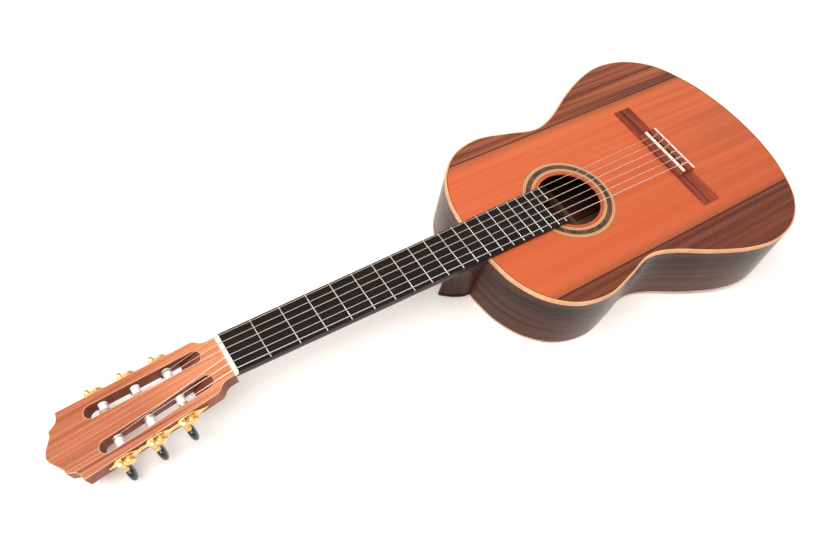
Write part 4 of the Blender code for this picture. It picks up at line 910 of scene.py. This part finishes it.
def makeBoard(plan):
    end = fretX(plan["frets"]) + plan["overhang"]
    scoop = [(holeX - math.sqrt(plan["holeRadius"]**2 - y**2), y)
             for y in np.linspace(plan["scoopBass"], plan["scoopTreble"], 17)]
    loop = [(glueGap, -boardHalf(0.0)), (end, -boardHalf(end)), (end, plan["scoopBass"])]
    loop += scoop + [(end, plan["scoopTreble"]), (end, boardHalf(end)), (glueGap, boardHalf(0.0))]
    addPiece("board", roundedPlate([loop], 0.0001, plan["thickness"], 0.0004), ebony, guitarFrame,
             replaces=["fingerboard"], soft=True)
    half = plan["fretWidth"] / 2
    crown = [(half * math.cos(math.pi * k / 8), math.sin(math.pi * k / 8)) for k in range(9)]
    sunk = 0.0002           # how far a fret goes into the board
    shapes = []
    for number in range(1, plan["frets"] + 1):
        x = fretX(number)
        reach = boardHalf(x) - 0.00005
        spans = [(-reach, reach)]
        if number == plan["frets"]:
            spans = [(-reach, plan["scoopBass"] - 0.0006), (plan["scoopTreble"] + 0.0006, reach)]
        for low, high in spans:
            rings = []
            for y, rise in ((low, 0.15), (low + 0.0005, 0.8), (low + 0.0010, 1.0),
                            (high - 0.0010, 1.0), (high - 0.0005, 0.8), (high, 0.15)):
                height = (plan["fretHeight"] + sunk) * rise
                rings.append([(x + dx, y, plan["thickness"] - sunk + height * dz) for dx, dz in crown])
            shapes.append(skin(rings))
    addPiece("fretWires", joined(shapes), fretSilver, guitarFrame, sharpAngle=40)


def makeNut():
    low, high = localBox("nut", guitarFrame)
    top = high.z
    marks = []
    for index, diameter in enumerate(stringPlan["diameters"]):
        y = stringY(index, stringPlan["nutSpan"])
        reach = diameter / 2 + 0.0001
        floor = nutStringZ(diameter / 2) - diameter / 2 - 0.0001
        bend = floor + diameter * 0.2
        marks += [(y - reach - 0.0002, top), (y - reach, top - 0.0002), (y - reach * 0.8, bend), (y, floor),
                  (y + reach * 0.8, bend), (y + reach, top - 0.0002), (y + reach + 0.0002, top)]
    marks += [(low.y, top - 0.0004), (low.y + 0.0004, top), (high.y - 0.0004, top), (high.y, top - 0.0004)]
    rings = []
    for y, level in sorted(marks):
        rings.append([(low.x, y, low.z), (high.x, y, low.z), (high.x, y, level - 0.0003),
                      (high.x - 0.0003, y, level), (-0.0032, y, level), (-0.0042, y, level - 0.0003),
                      (-0.0047, y, level - 0.0012), (low.x, y, 0.0036)])
    addPiece("nutBone", skin(rings), bone, guitarFrame, replaces=["nut"], sharpAngle=40)


makeBoard(boardPlan)
makeNut()
print("fingerboard made")

# bridge and saddle

bridgePlan = {
    "blockSpan": 0.082, "wing": 0.0028, "wingTip": 0.0023, "ridge": 0.0082, "channel": 0.0036,
    "tieDepth": 0.0122, "trimWidth": 0.0028, "trimThickness": 0.0014, "holeZ": 0.0052, "holeRadius": 0.0008,
}
bridgeLow, bridgeHigh = localBox("bridge", guitarFrame)
saddleLow, saddleHigh = localBox("saddle", guitarFrame)
saddleX = (saddleLow.x + saddleHigh.x) / 2
tieTop = localBox("tie_block_trim", guitarFrame)[1].z
tieFront = bridgeHigh.x - bridgePlan["tieDepth"]


def makeBridge(plan):
    front, rear, base = bridgeLow.x, bridgeHigh.x, glueGap
    ledge = rear - plan["trimWidth"] - glueGap / 2
    ledgeZ = tieTop - plan["trimThickness"] - glueGap / 2
    ridgeRear = saddleHigh.x + 0.0024
    block = [(front, base), (rear, base), (rear, ledgeZ), (ledge, ledgeZ), (ledge, tieTop),
             (tieFront, tieTop), (tieFront, plan["channel"]), (ridgeRear + 0.0008, plan["channel"]),
             (ridgeRear, plan["ridge"]), (saddleX - 0.0035, plan["ridge"]), (front, 0.0040)]

    def wing(thickness):
        marks = ((1.0, 0.55), (0.97, 0.80), (0.90, 0.95), (0.70, 1.0), (0.50, 1.0), (0.30, 1.0),
                 (0.10, 0.95), (0.03, 0.80), (0.0, 0.55))
        return [(front, base), (rear, base)] + [(front + (rear - front) * share, thickness * rise)
                                                for share, rise in marks]
    reach, half = plan["blockSpan"] / 2, bridgeHigh.y
    stations = ((half, plan["wingTip"] * 0.7), (half - 0.0008, plan["wingTip"]), (half * 0.7, plan["wing"]),
                (reach + 0.0003, plan["wing"]), (reach, None))
    rings = []
    for y, thickness in stations:
        ring = block if thickness is None else wing(thickness)
        rings.append([(x, -y, z) for x, z in ring])
    rings += [[(x, -y, z) for x, y, z in ring] for ring in reversed(rings)]
    holes = []
    for index in range(len(strings)):
        y = stringY(index, stringPlan["saddleSpan"])
        ring = circle(plan["holeRadius"], 14, (y, plan["holeZ"]))
        ends = (tieFront - 0.002, rear + 0.002)
        holes.append(skin([[(x, side, z) for side, z in ring] for x in ends]))
    mesh = cutShape(skin(rings), joined(holes), bridgeWood)
    bridge = addObject("bridgeBody", mesh, bridgeWood, guitarFrame, replaces=["bridge"])
    bevelEdges(bridge, 0.00025)
    trimFront, trimFoot = rear - plan["trimWidth"], tieTop - plan["trimThickness"]
    trim = [(trimFront, -reach), (rear, -reach), (rear, reach), (trimFront, reach)]
    addPiece("tieBlockTrim", roundedPlate([trim], trimFoot, tieTop, 0.0003), bone, guitarFrame,
             replaces=["tie_block_trim"], soft=True)
    rings = []
    for y, drop in ((-saddleHigh.y, 0.0006), (-saddleHigh.y + 0.0007, 0.0), (saddleHigh.y - 0.0007, 0.0),
                    (saddleHigh.y, 0.0006)):
        ring = [(saddleLow.x, saddleLow.z), (saddleHigh.x, saddleLow.z)]
        width = (saddleHigh.x - saddleLow.x) / 2
        for k in range(9):
            turn = math.pi * k / 8
            crown = 0.0009 * (1 - math.sin(turn))
            ring.append((saddleX + width * math.cos(turn), saddleHigh.z - drop - crown))
        rings.append([(x, y, z) for x, z in ring])
    addPiece("saddleBone", skin(rings), bone, guitarFrame, replaces=["saddle"], sharpAngle=40)


makeBridge(bridgePlan)
print("bridge made")

# head

headPlan = {
    "outline": (            # (u, half width) from the nut to the middle of the crest
        (0.0000, 0.0252), (0.0100, 0.0256), (0.0155, 0.0280), (0.0195, 0.0318), (0.0230, 0.0334),
        (0.1705, 0.0400), (0.1715, 0.0340), (0.1750, 0.0288), (0.1830, 0.0250), (0.1840, 0.0190),
        (0.1893, 0.0115), (0.1930, 0.0055), (0.1945, 0.0000)),
    "corners": (4, 5, 8), "steps": 6,
    "slotStart": (0.0200, 0.0153), "slotEnd": (0.1465, 0.0213), "slotWidth": 0.0150,
    "face": 0.0009, "line": 0.0006, "thickness": 0.0200, "trim": 0.0006,
    "rampLength": 0.0250, "rampTop": 0.0030,
}


def headLoop(plan):
    # the straight sides and crest corners stay sharp, the sweeps between them are curves
    points = list(plan["outline"])
    half = []
    bounds = [0, *plan["corners"], len(points) - 1]
    for start, end in zip(bounds, bounds[1:]):
        part = points[start:end + 1]
        half += part[:-1] if len(part) == 2 else smoothLoop(part, plan["steps"], closed=False)[:-1]
    half.append(points[-1])
    return [(u, -v) for u, v in half] + half[-2::-1]


def slotLoop(plan, sign):
    start, end = Vector(plan["slotStart"]), Vector(plan["slotEnd"])
    way = (end - start).normalized()
    side = Vector((-way.y, way.x))
    radius = plan["slotWidth"] / 2
    points = []
    for centre, first in ((end - way * radius, -math.pi / 2), (start + way * radius, math.pi / 2)):
        for k in range(17):
            turn = first + math.pi * k / 16
            points.append(centre + way * math.cos(turn) * radius + side * math.sin(turn) * radius)
    loop = [(point.x, sign * point.y) for point in points]
    return loop if sign > 0 else loop[::-1]


def slotRamp(plan, sign):
    # the slope that lets the strings into a slot at its nut end
    start, end = Vector(plan["slotStart"]), Vector(plan["slotEnd"])
    way = (end - start).normalized()
    side = Vector((-way.y, way.x)) * (plan["slotWidth"] / 2 + 0.0002)
    rings = []
    for share in (-1, 1):
        near, far = start + side * share, start + way * plan["rampLength"] + side * share
        foot = -plan["thickness"] + 0.0003
        rings.append([(near.x, sign * near.y, -plan["rampTop"]), (near.x, sign * near.y, foot),
                      (far.x, sign * far.y, foot)])
    return skin(rings)


def makeHead(plan):
    loops = [headLoop(plan), slotLoop(plan, 1), slotLoop(plan, -1)]
    trim = plan["trim"]
    faceLoops = [inset(loop, trim if number == 0 else -trim) for number, loop in enumerate(loops)]
    lineTop = -plan["face"]
    lineFoot = lineTop - plan["line"]
    layers = (("headFace", faceLoops, lineTop, 0.0, 0.0002, headWood, "face_veneer", ["head_plate"]),
              ("headLine", loops, lineFoot, -0.0001, 0.0002, headEdge, "maple", []),
              ("headCore", loops, -plan["thickness"], lineFoot, 0.0003, slotWood, "mahogany", ["headstock"]))
    for name, plate, low, high, edge, finish, slot, stoodFor in layers:
        addPiece(name, roundedPlate(plate, low, high, edge), finish, headFrame, replaces=stoodFor,
                 soft=True)
    ramps = joined([slotRamp(plan, 1), slotRamp(plan, -1)])
    addPiece("slotRamps", ramps, slotWood, headFrame)


makeHead(headPlan)
print("head made")

# tuners

tunerPlan = {
    "plateThickness": 0.0012, "clearance": 0.0003, "halfLength": 0.0560, "lobe": 0.0080, "waist": 0.0034,
    "rollers": (-0.0350, 0.0, 0.0350), "bearingInner": 0.0060, "bearingOuter": 0.0078, "bearingHalf": 0.0032,
    "pitch": 0.0025, "wormTip": 0.0035, "wormRoot": 0.0025, "wormHalf": 0.0048, "journal": 0.0020,
    "collar": 0.0033, "rollerRadius": 0.0050, "gearHalf": 0.0016,
    "buttonTop": 0.0150, "buttonHeight": 0.0205, "buttonWidth": 0.0195, "buttonThickness": 0.0090,
}


def wormPlace(string):
    # (along a, along b) of the key's axis in the tuner's frame
    key = tuners[string].inverted() @ Vector(joints[f"key_{string}_turn"]["pos_m"])
    return key.x, key.y


def plateLoop(plan):
    points = [(-plan["halfLength"], 0.0), (-plan["halfLength"] + 0.006, plan["waist"] * 0.7)]
    lobe, waist = plan["lobe"], plan["waist"]
    for a in plan["rollers"]:
        points += [(a - 0.0125, waist), (a - 0.0085, lobe * 0.72), (a - 0.0035, lobe), (a + 0.0110, lobe),
                   (a + 0.0135, lobe * 0.6), (a + 0.0165, waist)]
    points += [(plan["halfLength"] - 0.0012, waist * 0.5), (plan["halfLength"], 0.0)]
    upper = smoothLoop(points, 5, closed=False)
    return [(a, -c) for a, c in upper] + upper[-2:0:-1]


def screwMesh(radius, height, finish):
    # a domed head with a slot
    rows = [(0.0, radius), (height * 0.35, radius), (height * 0.7, radius * 0.85), (height, radius * 0.45),
            (height * 1.06, 0.0)]
    slot = [(-radius * 0.16, -2 * radius), (radius * 0.16, -2 * radius), (radius * 0.16, 2 * radius),
            (-radius * 0.16, 2 * radius)]
    cut = skin([[(x, y, z) for x, y in slot] for z in (height * 0.5, height * 2)])
    mesh = cutShape(turned(rows, 24), cut, finish)
    mesh.shade_smooth()
    mesh.set_sharp_from_angle(angle=math.radians(35))
    return mesh


plateScrew = screwMesh(0.0017, 0.0008, gold)
gearScrew = screwMesh(0.0028, 0.0013, gold)
# turns a screw drawn along z so that it stands out of the head's side
outOfSide = Matrix(((1, 0, 0, 0), (0, 0, 1, 0), (0, -1, 0, 0), (0, 0, 0, 1)))


def makePlate(name, sideStrings, plan):
    place = tuners[sideStrings[1]]
    way = math.copysign(1.0, wormPlace(sideStrings[1])[0])
    low = plan["clearance"]
    high = low + plan["plateThickness"]
    wormB = wormPlace(sideStrings[1])[1]
    # drawn flat in (a, c), then stood up against the side
    stand = Matrix(((way, 0, 0, 0), (0, 0, 1, 0), (0, 1, 0, 0), (0, 0, 0, 1)))
    shapes = [moved(roundedPlate([plateLoop(plan)], low, high, 0.0003), stand)]
    half = plan["bearingHalf"]
    for string in sideStrings:
        shift = (place.inverted() @ tuners[string].translation).x
        a, _ = wormPlace(string)
        middle, foot = a + shift, low + 0.0006
        turns = [math.pi * k / 12 for k in range(13)]
        loop = [(middle + half * math.cos(turn), wormB + half * math.sin(turn)) for turn in turns]
        loop += [(middle - half, foot), (middle + half, foot)]
        for side in (1, -1):
            ends = sorted((side * plan["bearingInner"], side * plan["bearingOuter"]))
            shapes.append(roundedPlate([loop], ends[0], ends[1], 0.0003))
    plate = addPiece(name, joined(shapes), gold, place,
                     replaces=[f"tuner_plate_{name[5:].lower()}"], sharpAngle=40, soft=True)
    for number, a in enumerate((-0.0515, -0.0165, 0.0195, 0.0535)):
        spot = place @ Matrix.Translation((way * a, high - 0.0001, 0.0)) @ outOfSide
        addObject(f"{name}Screw{number + 1}", plateScrew, gold, spot)
    return plate


def wormShape(phase, plan):
    # (height, radius) rows down the shaft; None is a row of thread
    ball = plan["collar"]
    ballMiddle = -plan["bearingOuter"] - 0.0003 - ball * 0.72
    rows = [(-plan["buttonTop"] - 0.003, plan["journal"] * 0.9),
            (-plan["buttonTop"] + 0.0003, plan["journal"] * 1.1)]
    for k in range(11):
        turn = math.pi * (0.12 + 0.76 * k / 10)
        rows.append((ballMiddle - ball * 0.86 * math.cos(turn), ball * math.sin(turn)))
    rows += [(-plan["bearingOuter"] - 0.0002, plan["journal"]),
             (-plan["wormHalf"] - 0.0004, plan["journal"])]
    steps = 46
    rows += [(-plan["wormHalf"] + 2 * plan["wormHalf"] * k / steps, None) for k in range(steps + 1)]
    rows += [(plan["wormHalf"] + 0.0004, plan["journal"]), (plan["bearingOuter"] + 0.0002, plan["journal"]),
             (plan["bearingOuter"] + 0.0003, ball * 0.80), (plan["bearingOuter"] + 0.0009, ball * 0.78),
             (plan["bearingOuter"] + 0.0013, ball * 0.55)]
    sides = 24
    rings = []
    for height, radius in rows:
        ring = []
        for k in range(sides):
            turn = 2 * math.pi * k / sides
            here = radius
            if radius is None:
                spot = ((height - phase) / plan["pitch"] - turn / (2 * math.pi) + 0.5) % 1.0 - 0.5
                share = min(1.0, max(0.0, (0.26 - abs(spot)) / 0.12))
                here = plan["wormRoot"] + (plan["wormTip"] - plan["wormRoot"] - 0.0001) * share
            ring.append((here * math.cos(turn), here * math.sin(turn), height))
        rings.append(ring)
    return skin(rings)


def buttonShape(plan):
    rings = []
    rows = 18
    for k in range(rows + 1):
        turn = math.pi * k / rows
        drop = 0.5 * (1 - math.cos(turn))
        size = max(0.16, math.sin(turn) ** 0.62) * (0.88 + 0.12 * math.sin(math.pi * drop))
        ring = []
        for i in range(40):
            angle = 2 * math.pi * i / 40
            x = math.copysign(abs(math.cos(angle)) ** 0.85, math.cos(angle))
            y = math.copysign(abs(math.sin(angle)) ** 0.85, math.sin(angle))
            ring.append((x * plan["buttonThickness"] / 2 * size**0.7, y * plan["buttonWidth"] / 2 * size,
                         -plan["buttonTop"] - drop * plan["buttonHeight"]))
        rings.append(ring)
    return skin(rings)


def barrelEnds(string):
    # where the roller's barrel starts and ends along b
    back = tuners[string].inverted()
    spots = [back @ vertex.co for vertex in cadNodes[f"roller_{string}"].data.vertices]
    wide = [spot.y for spot in spots if math.hypot(spot.x, spot.z) > tunerPlan["rollerRadius"] * 0.98]
    return min(wide), max(wide)


def makeTuner(string, plan):
    place = tuners[string]
    a, wormB = wormPlace(string)
    way = math.copysign(1.0, a)
    keyPlace = place @ Matrix.Translation((a, wormB, 0.0))
    phase = 0.0 if way > 0 else plan["pitch"] / 2
    key, post = f"key_{string}", f"post_{string}"
    addPiece(f"wormShaft_{string}", wormShape(phase, plan), gold, keyPlace, key,
             replaces=[f"worm_{string}"], sharpAngle=40)
    addPiece(f"knob_{string}", buttonShape(plan), buttonBlack, keyPlace, key,
             replaces=[f"button_{string}"], sharpAngle=60)
    inner, outer = barrelEnds(string)
    radius = plan["rollerRadius"]
    pin = localBox(f"roller_{string}", place)[0].y
    profile = [(pin, 0.0016), (pin + 0.0004, 0.0020), (inner - 0.0001, 0.0020), (inner, radius - 0.0004),
               (inner + 0.0003, radius), (inner + 0.0009, radius), (inner + 0.0013, radius - 0.0004),
               (outer - 0.0013, radius - 0.0004), (outer - 0.0009, radius), (outer - 0.0003, radius),
               (outer, radius - 0.0004), (outer + 0.0001, 0.0020),
               (wormB - plan["gearHalf"] - 0.0003, 0.0020), (wormB - plan["gearHalf"] - 0.0002, 0.0014),
               (wormB + plan["gearHalf"], 0.0014)]
    addPiece(f"stringRoller_{string}", turned(profile, 40, "b"), whitePlastic, place, post,
             replaces=[f"roller_{string}"], sharpAngle=40)
    spot = place @ Matrix.Translation((0.0, wormB + plan["gearHalf"], 0.0)) @ outOfSide
    addObject(f"gearScrew_{string}", gearScrew, gold, spot, post)
    gear = cadNodes[f"gear_{string}"]
    wheel = gear.data.copy()
    wheel.materials.clear()
    gearWheel = addObject(f"gearWheel_{string}", wheel, gold, gear.matrix_world.copy(), post,
                          replaces=[f"gear_{string}"])
    bevelEdges(gearWheel, 0.00015, 1)


makePlate("plateBass", ("e6", "a5", "d4"), tunerPlan)
makePlate("plateTreble", ("e1", "b2", "g3"), tunerPlan)
for string in strings:
    makeTuner(string, tunerPlan)
print("tuners made")

# strings


def arcs(points, radius, steps=4):
    # a path with its corners rounded
    made = [Vector(points[0])]
    for before, here, after in zip(points, points[1:], points[2:]):
        before, here, after = Vector(before), Vector(here), Vector(after)
        cut = min(radius, (before - here).length * 0.45, (after - here).length * 0.45)
        start = here + (before - here).normalized() * cut
        end = here + (after - here).normalized() * cut
        shares = [k / steps for k in range(steps + 1)]
        made += [start * (1 - t) ** 2 + here * 2 * t * (1 - t) + end * t**2 for t in shares]
    made.append(Vector(points[-1]))
    return made


def makeString(index, plan):
    string = strings[index]
    diameter = plan["diameters"][index]
    radius = diameter / 2
    nutY = stringY(index, plan["nutSpan"])
    endY = stringY(index, plan["saddleSpan"])
    toGuitar = guitarFrame.inverted() @ tuners[string]
    inner, outer = barrelEnds(string)
    drum = tunerPlan["rollerRadius"] - 0.0004 + radius
    edgeY = abs(toGuitar.translation.y)
    turns = 3.2 if index < 3 else 2.4
    room = turns * diameter * 1.04 + 0.0014
    b = min(max(abs(nutY) - edgeY, inner + 0.0016), outer - room)
    way = math.copysign(1.0, wormPlace(string)[0])
    start = toGuitar @ Vector((0.0, b, drum))
    rear = bridgeHigh.x
    over = tieTop + radius + 0.00005
    holeZ = bridgePlan["holeZ"]
    lean = 1.0 if index < 3 else -1.0
    step = diameter * 1.15
    path = [
        start,
        (-nutBack + 0.0006, nutY, nutStringZ(radius) - 0.0002),
        (-0.0010, nutY, nutStringZ(radius)),
        (saddleX + 0.0004, endY, saddleHigh.z + radius),
        (tieFront - 0.0012, endY, holeZ + 0.0010),
        (tieFront + 0.0015, endY, holeZ),
        (rear + radius + 0.0002, endY, holeZ),
        (rear + radius + 0.0002, endY + lean * 0.0003, over - 0.0002),
        (rear - 0.0015, endY + lean * 0.0006, over),
        (tieFront + 0.0006, endY + lean * step, over),
        (tieFront - radius - 0.0003, endY + lean * step, over - diameter * 1.3),
        (tieFront - radius - 0.0006, endY, holeZ + 0.0024),
        (tieFront - radius - 0.0003, endY - lean * step, over - diameter * 1.3),
        (tieFront + 0.0008, endY - lean * step, over),
        (tieFront + 0.0030, endY - lean * step * 0.6, over + diameter * 0.2),
        (tieFront + 0.0046, endY + lean * step * 0.9, over + diameter * 1.0),
        (tieFront + 0.0062, endY + lean * step * 1.8, over + diameter * 0.1),
        (rear - 0.0030, endY + lean * step * 2.1, over),
        (rear - 0.0004, endY + lean * step * 2.3, over - diameter * 0.1),
    ]
    finish, slot = (nylon, "nylon") if index < 3 else (woundSilver, "wound_silver")
    wire = tube(arcs(path, 0.0012), radius, plan["sides"])
    addPiece(f"wire_{string}", wire, finish, guitarFrame,
             replaces=[f"string_{string}"], sharpAngle=60)
    coil = []
    advance = diameter * 1.04 / (2 * math.pi)           # along the roller, for each radian
    count = int(turns * 26)
    for k in range(count + 1):
        turn = 2 * math.pi * turns * k / count
        coil.append((way * drum * math.sin(turn), b + advance * turn, drum * math.cos(turn)))
    final = Vector(coil[-1])
    coil.append(final + (final - Vector(coil[-2])).normalized() * 0.003)
    addPiece(f"winding_{string}", tube(coil, radius, 10), finish, tuners[string], f"post_{string}",
             sharpAngle=60)


for index in range(len(strings)):
    makeString(index, stringPlan)
print("strings made")

# floor, light and camera

studio = {
    "floor": paint(250, 248, 246), "floorSize": 30.0,
    "floorGlow": (0.15, 0.125, 0.105, 1.0), "farGlow": 9.0, "fadeStart": 0.9, "fadeEnd": 3.0,
    "world": 0.56, "backdrop": 1.1,
    "lights": (             # (name, place, aim, width, power, colour)
        ("key", (-1.1, -0.3, 2.2), (0.0, 0.0, 0.0), 1.7, 50.0, (1.0, 0.985, 0.96)),
        ("left", (-2.1, 1.3, 1.3), (0.1, 0.0, 0.0), 1.4, 20.0, (1.0, 0.99, 0.98)),
        ("right", (1.9, -1.6, 1.7), (0.1, 0.0, 0.0), 1.6, 16.0, (1.0, 0.99, 0.98)),
    ),
}
view = {                    # in the guitar's frame
    "eye": (-0.1367, -0.3688, 0.7293), "look": (0.41441, 0.39734, -0.81877),
    "up": (0.38567, 0.73821, 0.55345),
    "lens": 32.92, "sensor": 36.0,
}


def makeStudio(plan):
    size = plan["floorSize"] / 2
    mesh = bpy.data.meshes.new("floor")
    mesh.from_pydata([(x, y, 0.0) for x, y in circle(size, 64)], [], [tuple(range(64))])
    floor = bpy.data.objects.new("floor", mesh)
    bpy.context.scene.collection.objects.link(floor)
    floor.location.z = cadBox[0].z - 0.0002
    made, tree, shader = newMaterial("studioFloor")
    cloud = addNode(tree, "ShaderNodeTexNoise", {"Scale": 30.0, "Detail": 2.0}).outputs["Fac"]
    rough = spread(tree, cloud, 0.3, 0.7, 0.75, 0.82)
    # the camera sees a floor that fades to white with distance; the light bounced from it stays plain
    reach = lengthOf(tree, objectPlace(tree))
    far = tuple(value * plan["farGlow"] for value in plan["floorGlow"][:3]) + (1.0,)
    glow = mixed(tree, spread(tree, reach, plan["fadeStart"], plan["fadeEnd"]), plan["floorGlow"], far)
    seen = addNode(tree, "ShaderNodeLightPath").outputs["Is Camera Ray"]
    glow = mixed(tree, seen, (0.0, 0.0, 0.0, 1.0), glow)
    connect(tree, shader, {"Roughness": rough, "Emission Color": glow},
            {"Base Color": plan["floor"], "Specular IOR Level": 0.2, "Emission Strength": 1.0})
    mesh.materials.append(made)
    world = bpy.data.worlds.new("studio")
    world.use_nodes = True
    back = world.node_tree.nodes["Background"]
    back.inputs["Color"].default_value = (1.0, 1.0, 1.0, 1.0)
    direct = addNode(world.node_tree, "ShaderNodeLightPath").outputs["Is Camera Ray"]
    more = plan["backdrop"] - plan["world"]
    strength = worked(world.node_tree, "MULTIPLY_ADD", direct, more, plan["world"])
    world.node_tree.links.new(strength, back.inputs["Strength"])
    bpy.context.scene.world = world
    for name, place, aim, width, power, colour in plan["lights"]:
        data = bpy.data.lights.new(name, "AREA")
        data.shape = "SQUARE"
        data.size = width
        data.energy = power
        data.color = colour
        light = bpy.data.objects.new(name, data)
        bpy.context.scene.collection.objects.link(light)
        light.location = place
        light.rotation_euler = (Vector(aim) - Vector(place)).to_track_quat("-Z", "Y").to_euler()


def makeCamera(plan):
    data = bpy.data.cameras.new("camera")
    data.sensor_width = plan["sensor"]
    data.lens = plan["lens"]
    camera = bpy.data.objects.new("camera", data)
    bpy.context.scene.collection.objects.link(camera)
    look, top = Vector(plan["look"]).normalized(), Vector(plan["up"]).normalized()
    camera.matrix_world = guitarFrame @ axesMatrix(look.cross(top), top, -look, Vector(plan["eye"]))
    bpy.context.scene.camera = camera


makeStudio(studio)
makeCamera(view)
bpy.context.scene.view_settings.view_transform = "Standard"
print("studio made")
